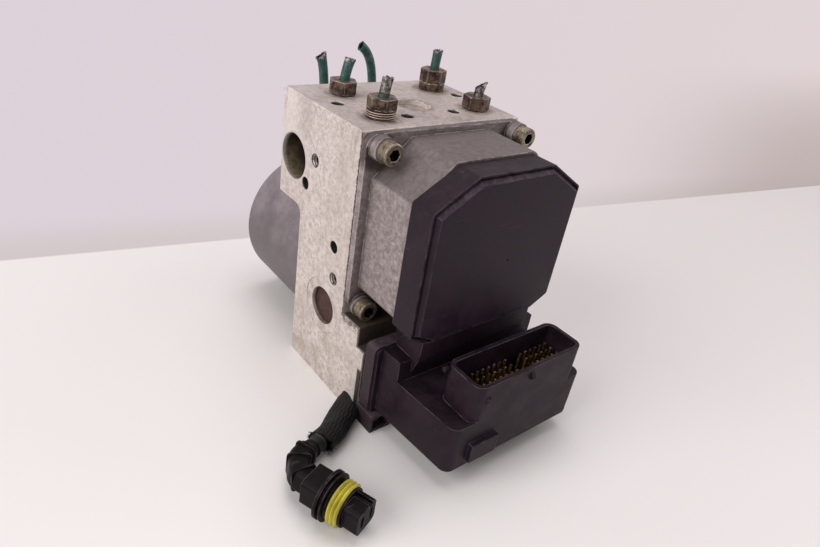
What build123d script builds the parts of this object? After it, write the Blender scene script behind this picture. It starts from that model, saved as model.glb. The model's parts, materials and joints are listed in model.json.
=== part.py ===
from build123d import *
import math
import os

os.makedirs("parts", exist_ok=True)

# ---------------------------------------------------------------------------
# Driving dimensions, in millimetres.
# X runs across the block, +Y towards the pump motor, +Z up.  The origin is the
# middle of the footprint, on the face that the unit stands on.
# ---------------------------------------------------------------------------

# Hydraulic block
block_width = 94.0
block_height = 142.0
overall_length = 196.0           # front of the latch lug to back of motor
upper_depth = 66.4               # block depth at the top, under the brake pipes
waist_depth = 44.6               # block depth beside the motor
toe_length = 20.4                # how far the low part reaches to the front
toe_height = 51.0
overhang_height = 88.0           # underside of the rear overhang
step_radius = 5.0
edge_chamfer = 0.6
notch_depth = 6.1                # notch under the lower left housing screw
notch_width = 24.0
notch_floor = 40.5

half_width = block_width / 2
front_reach = 79.0               # control housing in front of the valve face
lug_reach = 2.6                  # latch lug in front of the control housing
valve_face_y = front_reach + lug_reach - overall_length / 2
toe_face_y = valve_face_y - toe_length
motor_face_y = valve_face_y + waist_depth
back_face_y = valve_face_y + upper_depth

# Pump and its motor
shaft_z = 44.5
pump_y = valve_face_y + 17.9
motor_radius = 42.8
motor_back_y = overall_length / 2
can_wall = 2.6
chamber_radius = 15.5            # cam chamber in the block
pump_bore_radius = 7.0
pump_plug_radius = 10.0
pump_ring_radius = 15.1
pump_recess = 1.2
cam_radius = 7.5
cam_throw = 1.5
cam_ring_radius = 11.5
shaft_radius = 5.0
running_gap = 0.05
piston_radius = 4.5
piston_gap = 0.4                 # rest gap between cam ring sweep and piston

# Valves and coil housing
valve_columns = (-31.0, -10.4, 10.4, 31.0)
valve_rows = (83.0, 113.0)
valve_bore_radius = 5.5
valve_bore_depth = 20.0
coil_radius = 8.6
gasket_thickness = 0.6
flange_thickness = 3.4
flange_bottom = 54.7
flange_corner = 6.0
screw_x = 40.5
screw_top_z = 136.4
screw_low_z = 57.3
boss_radius = 5.6
boss_height = 5.0
low_boss_height = 2.4
screw_head_radius = 5.0
screw_head_height = 6.0
screw_radius = 3.0
screw_grip = 8.0

# Octagonal control cap
cap_back_y = valve_face_y - 34.2
cap_front_y = valve_face_y - 49.3
cap_half_width = 44.4
cap_top = 138.2
cap_bottom = 60.6
cap_top_flat = 22.4              # half length of the top edge
cap_shoulder = 125.3
cap_low_flat = 33.8
cap_hip = 66.2
cap_wall = 2.6
cap_corner = 1.6
cap_lip = 1.5                    # rim that stands in front of the cover's seat
cap_lip_wall = 0.9
cover_gap = 0.7                  # weld groove between that rim and the cover
cover_thickness = 3.4
cover_bevel_depth = 1.7
cover_bevel_width = 3.0

# Control housing, low part
deck_height = 36.5
box_bottom = 10.0
box_front_y = lug_reach - overall_length / 2
box_left_back = -42.5
box_left_front = -38.8
box_right = 46.9
box_corner = 5.0
seal_thickness = 1.6
plate_thickness = 6.3
plate_top = 48.6
foot_width = 12.4
foot_length = 12.8
foot_height = box_bottom
shoulder_front_y = valve_face_y - 41.2
neck_left = -34.6
neck_right = 35.5

# Latch lug, catch and pegs of the connector
lug_point = (-19.6, 20.0)
lug_length = 16.4
lug_height = 10.0
catch_x = 4.6
catch_top_z = 54.0
mark_point = (-22.1, 47.3)
right_peg_reach = 2.6

# Connector shroud
shroud_left = -29.5
shroud_right = 40.0
shroud_back_y = box_front_y + 22.0
shroud_top = 56.0
shroud_wall = 2.0
shroud_corner = 5.0
shroud_floor = 27.0
pin_width = 1.0
pin_top = 47.6

# Pressure accumulators under the block
accumulator_x = 27.0
accumulator_y = valve_face_y + 20.0
accumulator_radius = 11.0
accumulator_depth = 28.0

# Brake line fittings on the top face
front_left_port = (-27.6, valve_face_y + 14.6)
front_right_port = (31.9, valve_face_y + 16.0)
back_left_port = (-25.2, valve_face_y + 49.8)
back_right_port = (30.8, valve_face_y + 49.8)
port_points = [front_left_port, front_right_port, back_left_port, back_right_port]
port_bore_radius = 6.0
port_depth = 15.0
nut_flats = 12.0
pipe_radius = 2.4
pipe_wall = 0.8

# Motor lead, lying on the surface in front of the left side
lead_channel_width = 12.4
lead_channel_height = 11.0
lead_outlet_z = 10.0
lead_pocket_length = 46.0
lead_pocket_height = lead_outlet_z + 6.0
lead_channel_y = valve_face_y - 10.3
sleeve_radius = 5.2
lead_radius = 3.4


# ---------------------------------------------------------------------------
# Planes and outlines shared by several pieces
# ---------------------------------------------------------------------------

def facing_front(y):
    """Plane at this Y whose normal points to the front, local x = X, y = Z."""
    return Plane.XZ.offset(-y)


def on_left(y, z):
    """Drilling point on the left side of the block."""
    return Plane(origin=(-half_width, y, z), z_dir=(-1, 0, 0))


def on_right(y, z):
    """Drilling point on the right side of the block."""
    return Plane(origin=(half_width, y, z), z_dir=(1, 0, 0))


def on_top(x, y):
    """Drilling point on the top of the block."""
    return Plane(origin=(x, y, block_height), z_dir=(0, 0, 1))


def on_base(x, y):
    """Drilling point on the underside of the block."""
    return Plane(origin=(x, y, 0), z_dir=(0, 0, -1))


def on_valve_face(x, z):
    """Drilling point on the face that carries the valves."""
    return Plane(origin=(x, valve_face_y, z), z_dir=(0, -1, 0))


def on_back(x, z, y):
    """Drilling point on a face that looks to the back."""
    return Plane(origin=(x, y, z), z_dir=(0, 1, 0))


def cap_outline():
    """Corner points of the octagonal cap, local x = X and y = Z."""
    right_side = [
        (cap_low_flat, cap_bottom),
        (cap_half_width, cap_hip),
        (cap_half_width, cap_shoulder),
        (cap_top_flat, cap_top),
    ]
    left_side = [(-x, z) for x, z in reversed(right_side)]
    return right_side + left_side


valve_points = [(x, z) for z in valve_rows for x in valve_columns]
housing_screw_points = [
    (-screw_x, screw_top_z),
    (screw_x, screw_top_z),
    (-screw_x, screw_low_z),
    (screw_x, screw_low_z),
]
ball_points = [
    (-36.5, valve_face_y + 36.0),
    (-13.2, valve_face_y + 13.4),
    (16.3, valve_face_y + 14.6),
    (38.6, valve_face_y + 37.6),
]
ball_radius = 3.2
top_plug_point = (1.8, valve_face_y + 27.6)
top_plug_radius = 8.4
back_port_points = [(-15.5, 118.0), (15.0, 118.0)]
foot_screw_points = [(-half_width + 6.2, 5.0), (half_width - 6.2, 5.0)]
foot_screw_radius = 2.0
foot_screw_grip = 3.6
foot_recess = 6.0


# ---------------------------------------------------------------------------
# Hydraulic block: one milled and drilled aluminium bar
# ---------------------------------------------------------------------------

side_port = (valve_face_y + 54.4, 110.8)
side_port_radius = 11.4
side_port_depth = 24.0
side_port_wide_depth = 16.0
side_port_step = 3.2
tapped_holes = [(valve_face_y + 34.6, 115.9), (valve_face_y + 10.4, 64.5)]
tapped_radius = 3.4
tapped_depth = 9.0
plain_holes = [(valve_face_y + 42.0, 101.5), (valve_face_y + 12.5, 81.1)]
plain_radius = 3.2
plain_depth = 8.0
motor_clearance = 0.4
passage_radius = 1.6
passage_depth = 12.0
ball_passage_radius = 1.8
ball_seat_depth = 7.2
ball_passage_depth = 20.0
top_plug_depth = 8.0
staking_depth = 2.0
pump_plug_depth = 22.0
thread_gap = 0.1
screw_gap = 0.3

with BuildPart() as hydraulic_block:
    with BuildSketch(Plane.YZ.offset(-half_width)):
        with BuildLine():
            Polyline(
                (toe_face_y, 0),
                (motor_face_y, 0),
                (motor_face_y, overhang_height),
                (back_face_y, overhang_height),
                (back_face_y, block_height),
                (valve_face_y, block_height),
                (valve_face_y, toe_height),
                (toe_face_y, toe_height),
                close=True,
            )
        make_face()
    extrude(amount=block_width)
    long_edges = hydraulic_block.edges().filter_by(Axis.X)
    step_edge = [
        edge for edge in long_edges
        if abs(edge.center().Y - motor_face_y) < 0.1
        and abs(edge.center().Z - overhang_height) < 0.1
    ]
    fillet(step_edge, radius=step_radius)
    chamfer(hydraulic_block.edges().group_by(Axis.Z)[-1], length=edge_chamfer)
    # Round seat that clears the motor can under the overhang
    with BuildSketch(facing_front(motor_face_y)):
        with Locations((0, shaft_z)):
            Circle(motor_radius + motor_clearance)
    extrude(amount=-step_radius - 2, mode=Mode.SUBTRACT)
    # Notch in the front top corner of the toe, under the lower left screw
    with BuildSketch(Plane.XY.offset(notch_floor)):
        with Locations((-half_width + notch_width / 2, toe_face_y + notch_depth / 2)):
            Rectangle(notch_width, notch_depth)
    extrude(amount=toe_height - notch_floor, mode=Mode.SUBTRACT)
    # Cam chamber from the motor side, pump bores from both sides
    with Locations(on_back(0, shaft_z, motor_face_y)):
        Hole(radius=chamber_radius, depth=motor_face_y - pump_y + 10)
    for pump_side in (on_left(pump_y, shaft_z), on_right(pump_y, shaft_z)):
        with Locations(pump_side):
            CounterBoreHole(
                radius=pump_plug_radius,
                counter_bore_radius=pump_ring_radius,
                counter_bore_depth=staking_depth,
                depth=pump_plug_depth,
            )
        with Locations(pump_side):
            Hole(radius=pump_bore_radius, depth=half_width)
    # Valve bores and housing screw threads
    for x, z in valve_points:
        with Locations(on_valve_face(x, z)):
            Hole(radius=valve_bore_radius, depth=valve_bore_depth)
    for x, z in housing_screw_points:
        with Locations(on_valve_face(x, z)):
            Hole(radius=screw_radius - thread_gap, depth=screw_grip + 1)
    # Brake line ports, each with a passage down to the valve level
    for x, y in port_points:
        with Locations(on_top(x, y)):
            CounterBoreHole(
                radius=passage_radius,
                counter_bore_radius=port_bore_radius,
                counter_bore_depth=port_depth,
                depth=port_depth + passage_depth,
            )
    for x, y in ball_points:
        with Locations(on_top(x, y)):
            CounterBoreHole(
                radius=ball_passage_radius,
                counter_bore_radius=ball_radius,
                counter_bore_depth=ball_seat_depth,
                depth=ball_passage_depth,
            )
    with Locations(on_top(*top_plug_point)):
        Hole(radius=top_plug_radius, depth=top_plug_depth)
    for x, z in back_port_points:
        with Locations(on_back(x, z, back_face_y)):
            Hole(radius=port_bore_radius, depth=port_depth)
    # Left side: stepped port, two tapped holes, two plain dowel holes
    with Locations(on_left(*side_port)):
        CounterBoreHole(
            radius=side_port_radius - side_port_step,
            counter_bore_radius=side_port_radius,
            counter_bore_depth=side_port_wide_depth,
            depth=side_port_depth,
        )
    for y, z in tapped_holes:
        with Locations(on_left(y, z)):
            Hole(radius=tapped_radius, depth=tapped_depth)
    for y, z in plain_holes:
        with Locations(on_left(y, z)):
            Hole(radius=plain_radius, depth=plain_depth)
    # Accumulator bores from below
    for x in (-accumulator_x, accumulator_x):
        with Locations(on_base(x, accumulator_y)):
            Hole(radius=accumulator_radius, depth=accumulator_depth)
    # Threads for the screws of the control unit's feet
    for x, z in foot_screw_points:
        with Locations(Plane(origin=(x, toe_face_y, z), z_dir=(0, -1, 0))):
            Hole(radius=foot_screw_radius, depth=foot_screw_grip + 0.2)
    # Channel for the motor lead: back along the middle, then out to the left
    with BuildSketch(Plane.XY):
        with BuildLine():
            lead_run = FilletPolyline(
                (0, motor_face_y + 1),
                (0, lead_channel_y),
                (-half_width - 1, lead_channel_y),
                radius=24,
            )
            offset(lead_run, amount=lead_channel_width / 2, side=Side.BOTH)
        make_face()
    extrude(amount=lead_channel_height, mode=Mode.SUBTRACT)
    with BuildSketch(Plane.XY):
        with Locations((0, motor_face_y - lead_pocket_length / 2)):
            Rectangle(lead_channel_width, lead_pocket_length)
    extrude(amount=lead_pocket_height, mode=Mode.SUBTRACT)
hydraulic_block.part.label = "hydraulic_block"
export_step(hydraulic_block.part, "parts/hydraulic_block.step")


# ---------------------------------------------------------------------------
# Coil housing: die-cast frame that is screwed to the valve face
# ---------------------------------------------------------------------------

flange_back_y = valve_face_y - gasket_thickness
flange_front_y = flange_back_y - flange_thickness
housing_half_width = 42.4
housing_wall = 2.6
housing_top = 139.2
housing_bottom = 58.4
housing_shoulder = 122.0
housing_hip = 68.0
housing_flat = 23.5
flange_height = block_height - flange_bottom
flange_middle_z = (block_height + flange_bottom) / 2
wall_corner = 3.0
gasket_trim = 0.4
boss_heights = (boss_height, boss_height, low_boss_height, low_boss_height)
housing_bosses = list(zip(housing_screw_points, boss_heights))


def housing_outline():
    """Corner points of the octagonal wall, local x = X and y = Z."""
    right_side = [
        (housing_flat + 10, housing_bottom),
        (housing_half_width, housing_hip),
        (housing_half_width, housing_shoulder),
        (housing_flat, housing_top),
    ]
    left_side = [(-x, z) for x, z in reversed(right_side)]
    return right_side + left_side


with BuildPart() as coil_housing:
    with BuildSketch(facing_front(flange_back_y)):
        with Locations((0, flange_middle_z)):
            RectangleRounded(block_width, flange_height, flange_corner)
    extrude(amount=flange_thickness)
    with BuildSketch(facing_front(flange_front_y)):
        with BuildLine():
            Polyline(*housing_outline(), close=True)
        make_face()
    extrude(amount=flange_front_y - cap_back_y)
    wall_edges = [
        edge for edge in coil_housing.edges().filter_by(Axis.Y)
        if edge.length > 20
    ]
    fillet(wall_edges, radius=wall_corner)
    for (x, z), height in housing_bosses:
        with BuildSketch(facing_front(flange_front_y)):
            with Locations((x, z)):
                Circle(boss_radius)
        extrude(amount=height)
    with BuildSketch(facing_front(flange_back_y)):
        with BuildLine():
            Polyline(*housing_outline(), close=True)
        make_face()
        offset(amount=-housing_wall, kind=Kind.INTERSECTION, mode=Mode.REPLACE)
    extrude(amount=flange_back_y - cap_back_y, mode=Mode.SUBTRACT)
    for (x, z), height in housing_bosses:
        with Locations(Plane(origin=(x, flange_front_y - height, z), z_dir=(0, -1, 0))):
            Hole(radius=screw_radius + screw_gap)
coil_housing.part.label = "coil_housing"
export_step(coil_housing.part, "parts/coil_housing.step")

with BuildPart() as housing_gasket:
    with BuildSketch(facing_front(valve_face_y)):
        with Locations((0, flange_middle_z)):
            RectangleRounded(block_width - gasket_trim, flange_height - gasket_trim, flange_corner)
        with BuildLine():
            Polyline(*housing_outline(), close=True)
        make_face(mode=Mode.SUBTRACT)
        with Locations(*housing_screw_points):
            Circle(screw_radius + screw_gap, mode=Mode.SUBTRACT)
    extrude(amount=gasket_thickness)
housing_gasket.part.label = "housing_gasket"
export_step(housing_gasket.part, "parts/housing_gasket.step")

# Socket head screws through the four bosses
head_chamfer = 0.5
socket_radius = 2.5
socket_depth = 3.2
with BuildPart() as housing_screws:
    for (x, z), height in housing_bosses:
        screw_seat_y = flange_front_y - height
        with BuildPart(mode=Mode.PRIVATE) as screw:
            with BuildSketch(facing_front(screw_seat_y)):
                with Locations((x, z)):
                    Circle(screw_head_radius)
            extrude(amount=screw_head_height)
            rim = screw.edges().filter_by(GeomType.CIRCLE).group_by(Axis.Y)[0]
            chamfer(rim, length=head_chamfer)
            with BuildSketch(facing_front(screw_seat_y)):
                with Locations((x, z)):
                    Circle(screw_radius - thread_gap)
            extrude(amount=-(valve_face_y - screw_seat_y) - screw_grip)
            with BuildSketch(facing_front(screw_seat_y - screw_head_height)):
                with Locations((x, z)):
                    RegularPolygon(radius=socket_radius, side_count=6, major_radius=False)
            extrude(amount=-socket_depth, mode=Mode.SUBTRACT)
        add(screw.part)
housing_screws.part.label = "housing_screws"
export_step(housing_screws.part, "parts/housing_screws.step")


# ---------------------------------------------------------------------------
# Solenoid valves: cartridge in the block, plunger in its dome, coil over it
# ---------------------------------------------------------------------------

dome_radius = 4.2
dome_length = 20.0
plunger_radius = 3.0
plunger_length = 14.0
dome_wall = 1.2
plunger_gap = 0.3
spring_pocket_depth = 4.0
spring_pocket_radius = 1.8
needle_radius = 0.8
needle_length = 6.0
valve_passage_radius = 1.2
coil_gap = 0.2
bobbin_flange = 2.0
bobbin_wall = 1.4
coil_length = 22.0
coil_back_y = valve_face_y - 1.2

with BuildPart() as valve_cartridges:
    for x, z in valve_points:
        with BuildSketch(facing_front(valve_face_y + valve_bore_depth - 2)):
            with Locations((x, z)):
                Circle(valve_bore_radius - 0.05)
        extrude(amount=valve_bore_depth - 2)
        with BuildSketch(facing_front(valve_face_y)):
            with Locations((x, z)):
                Circle(dome_radius)
        extrude(amount=dome_length)
        with BuildSketch(facing_front(valve_face_y + 2)):
            with Locations((x, z)):
                Circle(plunger_radius + plunger_gap)
        extrude(amount=dome_length + 2 - dome_wall, mode=Mode.SUBTRACT)
        with BuildSketch(facing_front(valve_face_y + valve_bore_depth)):
            with Locations((x, z)):
                Circle(valve_passage_radius)
        extrude(amount=valve_bore_depth, mode=Mode.SUBTRACT)
valve_cartridges.part.label = "valve_cartridges"
export_step(valve_cartridges.part, "parts/valve_cartridges.step")

# One plunger to each valve: closed at the back end of its travel
plunger_back_y = valve_face_y + 1.4
plunger_names = (
    "outlet_plunger_1", "outlet_plunger_2", "outlet_plunger_3", "outlet_plunger_4",
    "inlet_plunger_1", "inlet_plunger_2", "inlet_plunger_3", "inlet_plunger_4",
)
for name, (x, z) in zip(plunger_names, valve_points):
    with BuildPart() as plunger:
        with BuildSketch(facing_front(plunger_back_y)):
            with Locations((x, z)):
                Circle(plunger_radius)
        extrude(amount=plunger_length)
        with BuildSketch(facing_front(plunger_back_y)):
            with Locations((x, z)):
                Circle(needle_radius)
        extrude(amount=-needle_length)
        with BuildSketch(facing_front(plunger_back_y - plunger_length)):
            with Locations((x, z)):
                Circle(spring_pocket_radius)
        extrude(amount=-spring_pocket_depth, mode=Mode.SUBTRACT)
    plunger.part.label = name
    export_step(plunger.part, f"parts/{name}.step")

# Return springs: plain sleeves between plunger and dome end
spring_back_y = plunger_back_y - plunger_length + spring_pocket_depth
spring_front_y = valve_face_y - dome_length + dome_wall
with BuildPart() as plunger_springs:
    with BuildSketch(facing_front(spring_back_y)):
        with Locations(*valve_points):
            Circle(1.6)
            Circle(1.0, mode=Mode.SUBTRACT)
    extrude(amount=spring_back_y - spring_front_y)
plunger_springs.part.label = "plunger_springs"
export_step(plunger_springs.part, "parts/plunger_springs.step")

with BuildPart() as solenoid_coils:
    with BuildSketch(facing_front(coil_back_y)):
        with Locations(*valve_points):
            Circle(coil_radius)
            Circle(dome_radius + coil_gap, mode=Mode.SUBTRACT)
    extrude(amount=coil_length)
    with BuildSketch(facing_front(coil_back_y - bobbin_flange)):
        with Locations(*valve_points):
            Circle(coil_radius + 1)
            Circle(coil_radius - bobbin_wall, mode=Mode.SUBTRACT)
    extrude(amount=coil_length - 2 * bobbin_flange, mode=Mode.SUBTRACT)
solenoid_coils.part.label = "solenoid_coils"
export_step(solenoid_coils.part, "parts/solenoid_coils.step")


# ---------------------------------------------------------------------------
# Control unit: octagonal cap, neck, connector box and shroud in one moulding
# ---------------------------------------------------------------------------

seal_front_y = toe_face_y - seal_thickness
plate_front_y = seal_front_y - plate_thickness
box_back_y = plate_front_y
cover_back_y = cap_front_y + cover_thickness
rim_back_y = cover_back_y
plate_bottom = box_bottom
shroud_middle_x = (shroud_left + shroud_right) / 2
shroud_middle_y = (shroud_back_y + box_front_y) / 2
shroud_length = shroud_right - shroud_left
shroud_depth = shroud_back_y - box_front_y
right_peg_point = (box_front_y + 7.0, 50.0)
left_peg_point = (shroud_back_y - 1.6, 53.6)
lower_edge_radius = 2.0
lip_gap = 0.6
lip_thickness = 1.3
lip_margin = 3.4
lip_corner = 2.4
shoulder_gap = 0.8
neck_bend_y = valve_face_y - 45.0
neck_bend_z = 49.2
neck_foot_y = valve_face_y - 40.1
catch_height = 4.4
catch_reach = 1.8
catch_width = 2.6
mark_size = (2.0, 3.4)
mark_reach = 0.8
right_peg_radius = 1.5
left_peg_radius = 1.3
left_peg_reach = 2.2

with BuildPart() as control_housing:
    # Low box with its drafted left wall
    with BuildSketch(Plane.XY.offset(box_bottom)):
        with BuildLine():
            Polyline(
                (box_left_back, box_back_y),
                (box_left_front, box_front_y),
                (box_right, box_front_y),
                (box_right, box_back_y),
                close=True,
            )
        make_face()
    extrude(amount=deck_height - box_bottom)
    upright = control_housing.edges().filter_by(Axis.Z).group_by(Axis.Y)[0]
    fillet(upright, radius=box_corner)
    low_front = control_housing.faces().sort_by(Axis.Z)[0].edges().group_by(Axis.Y)[0]
    fillet(low_front, radius=lower_edge_radius)
    # Lip against the mounting plate
    with BuildSketch(facing_front(box_back_y)):
        with Locations((0, (box_bottom + plate_top - lip_gap) / 2)):
            RectangleRounded(block_width - lip_margin, plate_top - lip_gap - box_bottom, lip_corner)
    extrude(amount=lip_thickness)
    # Shoulder at the back of the box, as high as the mounting plate
    with BuildSketch(Plane.XY.offset(deck_height)):
        with BuildLine():
            Polyline(
                (box_left_back, box_back_y),
                (box_left_back + 0.7, shoulder_front_y),
                (box_right, shoulder_front_y),
                (box_right, box_back_y),
                close=True,
            )
        make_face()
    extrude(amount=plate_top - shoulder_gap - deck_height)
    # Neck that leads up to the cap, leaning back towards the deck
    with BuildSketch(Plane.YZ.offset(neck_left)):
        with BuildLine():
            Polyline(
                (box_back_y, deck_height),
                (neck_foot_y, deck_height),
                (neck_bend_y, neck_bend_z),
                (rim_back_y, cap_bottom),
                (rim_back_y, cap_bottom + 4),
                (cap_back_y, cap_bottom + 4),
                (cap_back_y, cap_bottom - 3),
                (box_back_y, plate_top + 1.6),
                close=True,
            )
        make_face()
    extrude(amount=neck_right - neck_left)
    # Octagonal cap, open to the back round the coils
    with BuildSketch(facing_front(cap_back_y)):
        with BuildLine():
            Polyline(*cap_outline(), close=True)
        make_face()
    extrude(amount=cap_back_y - rim_back_y + cap_lip)
    cap_edges = [
        edge for edge in control_housing.edges().filter_by(Axis.Y)
        if edge.center().Y < cap_back_y - 3 and edge.length > 10
        and edge.center().Z > cap_hip - 1
    ]
    fillet(cap_edges, radius=cap_corner)
    with BuildSketch(facing_front(cap_back_y)):
        with BuildLine():
            Polyline(*cap_outline(), close=True)
        make_face()
        offset(amount=-cap_wall, kind=Kind.INTERSECTION, mode=Mode.REPLACE)
    extrude(amount=cap_back_y - rim_back_y, mode=Mode.SUBTRACT)
    with BuildSketch(facing_front(rim_back_y)):
        with BuildLine():
            Polyline(*cap_outline(), close=True)
        make_face()
        offset(amount=-cap_lip_wall, kind=Kind.INTERSECTION, mode=Mode.REPLACE)
    extrude(amount=cap_lip, mode=Mode.SUBTRACT)
    # Shroud of the main connector, open upwards
    with BuildSketch(Plane.XY.offset(deck_height)):
        with Locations((shroud_middle_x, shroud_middle_y)):
            RectangleRounded(shroud_length, shroud_depth, shroud_corner)
    extrude(amount=shroud_top - deck_height)
    with BuildSketch(Plane.XY.offset(shroud_top)):
        with Locations((shroud_middle_x, shroud_middle_y)):
            RectangleRounded(
                shroud_length - 2 * shroud_wall,
                shroud_depth - 2 * shroud_wall,
                shroud_corner - shroud_wall,
            )
    extrude(amount=-(shroud_top - shroud_floor), mode=Mode.SUBTRACT)
    # Latch lug low on the front face
    with BuildSketch(facing_front(box_front_y)):
        with Locations(lug_point):
            Rectangle(lug_length, lug_height)
    extrude(amount=lug_reach)
    # Catch and a low rib on the front of the shroud, guide pegs at its ends
    with BuildSketch(Plane.YZ.offset(catch_x)):
        with BuildLine():
            Polyline(
                (box_front_y, catch_top_z),
                (box_front_y, catch_top_z - catch_height),
                (box_front_y - catch_reach, catch_top_z - catch_height + 1.0),
                close=True,
            )
        make_face()
    extrude(amount=catch_width / 2, both=True)
    with BuildSketch(facing_front(box_front_y)):
        with Locations(mark_point):
            Rectangle(*mark_size)
    extrude(amount=mark_reach)
    with BuildSketch(Plane.YZ.offset(shroud_right)):
        with Locations(right_peg_point):
            Circle(right_peg_radius)
    extrude(amount=right_peg_reach)
    with BuildSketch(Plane.YZ.offset(shroud_left)):
        with Locations(left_peg_point):
            Circle(left_peg_radius)
    extrude(amount=-left_peg_reach)
control_housing.part.label = "control_housing"
export_step(control_housing.part, "parts/control_housing.step")

# Mounting plate with two feet, behind the box
plate_corner = 3.0
foot_wall = 1.4
foot_gap = 0.3
with BuildPart() as mounting_plate:
    with BuildSketch(facing_front(seal_front_y)):
        with Locations((0, (plate_top + plate_bottom) / 2)):
            RectangleRounded(block_width - 1, plate_top - plate_bottom, plate_corner)
    extrude(amount=plate_thickness)
    for side in (-1, 1):
        foot_middle_x = side * (half_width - foot_gap - foot_width / 2)
        with BuildSketch(Plane.XY):
            with Locations((foot_middle_x, toe_face_y - foot_length / 2)):
                Rectangle(foot_width, foot_length)
        extrude(amount=foot_height)
        with BuildSketch(facing_front(toe_face_y - foot_length + foot_recess)):
            with Locations((foot_middle_x, foot_height / 2)):
                Rectangle(foot_width - 2 * foot_wall, foot_height - 2 * foot_wall)
        extrude(amount=foot_recess, mode=Mode.SUBTRACT)
    for x, z in foot_screw_points:
        with Locations(Plane(origin=(x, toe_face_y - foot_length, z), z_dir=(0, -1, 0))):
            Hole(radius=foot_screw_radius)
mounting_plate.part.label = "mounting_plate"
export_step(mounting_plate.part, "parts/mounting_plate.step")

# Rubber frame between the mounting plate and the block
seal_bottom = foot_height + 0.6
seal_margin = 2.0
seal_band = 4.0
with BuildPart() as mounting_seal:
    with BuildSketch(facing_front(toe_face_y)):
        with Locations((0, (plate_top + seal_bottom) / 2)):
            RectangleRounded(
                block_width - seal_margin, plate_top - seal_bottom - seal_margin, plate_corner
            )
            RectangleRounded(
                block_width - seal_margin - 2 * seal_band,
                plate_top - seal_bottom - seal_margin - 2 * seal_band,
                plate_corner - 1,
                mode=Mode.SUBTRACT,
            )
    extrude(amount=seal_thickness)
mounting_seal.part.label = "mounting_seal"
export_step(mounting_seal.part, "parts/mounting_seal.step")

# Pan head screws that hold the feet to the block
foot_screw_y = toe_face_y - foot_length + foot_recess
foot_head_radius = 3.3
foot_head_height = 2.0
foot_socket_radius = 1.6
foot_socket_depth = 1.2
with BuildPart() as foot_screws:
    with BuildSketch(facing_front(foot_screw_y)):
        with Locations(*foot_screw_points):
            Circle(foot_head_radius)
    extrude(amount=foot_head_height)
    with BuildSketch(facing_front(foot_screw_y)):
        with Locations(*foot_screw_points):
            Circle(foot_screw_radius)
    extrude(amount=-(toe_face_y - foot_screw_y) - foot_screw_grip)
    with BuildSketch(facing_front(foot_screw_y - foot_head_height)):
        with Locations(*foot_screw_points):
            RegularPolygon(radius=foot_socket_radius, side_count=6)
    extrude(amount=-foot_socket_depth, mode=Mode.SUBTRACT)
foot_screws.part.label = "foot_screws"
export_step(foot_screws.part, "parts/foot_screws.step")

# Welded front cover with a bevelled edge
pip_point = (3.7, cap_front_y, 95.9)
pip_radius = 0.9
pip_depth = 0.4
with BuildPart() as control_cover:
    with BuildSketch(facing_front(cover_back_y)):
        with BuildLine():
            Polyline(*cap_outline(), close=True)
        make_face()
        offset(amount=-cap_lip_wall - cover_gap, kind=Kind.INTERSECTION, mode=Mode.REPLACE)
    extrude(amount=cover_thickness)
    cover_front = control_cover.faces().sort_by(Axis.Y)[0]
    chamfer(cover_front.edges(), length=cover_bevel_depth, length2=cover_bevel_width, reference=cover_front)
    # Moulding pip in the middle of the cover
    with Locations(Plane(origin=pip_point, z_dir=(0, -1, 0))):
        Hole(radius=pip_radius, depth=pip_depth)
control_cover.part.label = "control_cover"
export_step(control_cover.part, "parts/control_cover.step")

# Circuit board with the coil contacts, inside the cap
board_back_y = cover_back_y + 7.0
board_thickness = 1.6
board_gap = 0.4
relay_points = [(-22, 82), (-2, 82)]
relay_size = (15, 12)
processor_point = (14, 108)
processor_size = 14
chip_height = 2.6
with BuildPart() as circuit_board:
    with BuildSketch(facing_front(board_back_y)):
        with BuildLine():
            Polyline(*cap_outline(), close=True)
        make_face()
        offset(amount=-cap_wall - board_gap, kind=Kind.INTERSECTION, mode=Mode.REPLACE)
    extrude(amount=board_thickness)
    # Two relay cases and the processor
    with BuildSketch(facing_front(board_back_y - board_thickness)):
        with Locations(*relay_points):
            Rectangle(*relay_size)
        with Locations(processor_point):
            Rectangle(processor_size, processor_size)
    extrude(amount=chip_height)
circuit_board.part.label = "circuit_board"
export_step(circuit_board.part, "parts/circuit_board.step")

terminal_reach = 3.0
terminal_rise = 6.6
terminal_size = (1.6, 0.8)
with BuildPart() as coil_terminals:
    with BuildSketch(facing_front(coil_back_y - coil_length)):
        for x, z in valve_points:
            with Locations(
                (x - terminal_reach, z + terminal_rise), (x + terminal_reach, z + terminal_rise)
            ):
                Rectangle(*terminal_size)
    extrude(amount=coil_back_y - coil_length - board_back_y)
coil_terminals.part.label = "coil_terminals"
export_step(coil_terminals.part, "parts/coil_terminals.step")

# Blade pins that stand in the connector shroud, in two groups
pin_row_steps = (-6.0, -2.0, 2.0, 6.0)
pin_pitch = 3.6
left_group_x = -23.5
left_group_count = 9
right_group_x = 16.0
right_group_count = 6
pin_rows_y = [shroud_middle_y + step for step in pin_row_steps]
left_columns = [left_group_x + pin_pitch * i for i in range(left_group_count)]
right_columns = [right_group_x + pin_pitch * i for i in range(right_group_count)]
pin_columns_x = left_columns + right_columns
with BuildPart() as connector_pins:
    with BuildSketch(Plane.XY.offset(shroud_floor)):
        for y in pin_rows_y:
            with Locations(*[(x, y) for x in pin_columns_x]):
                Rectangle(pin_width, pin_width)
    extrude(amount=pin_top - shroud_floor)
connector_pins.part.label = "connector_pins"
export_step(connector_pins.part, "parts/connector_pins.step")


# ---------------------------------------------------------------------------
# Pump motor
# ---------------------------------------------------------------------------

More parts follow.
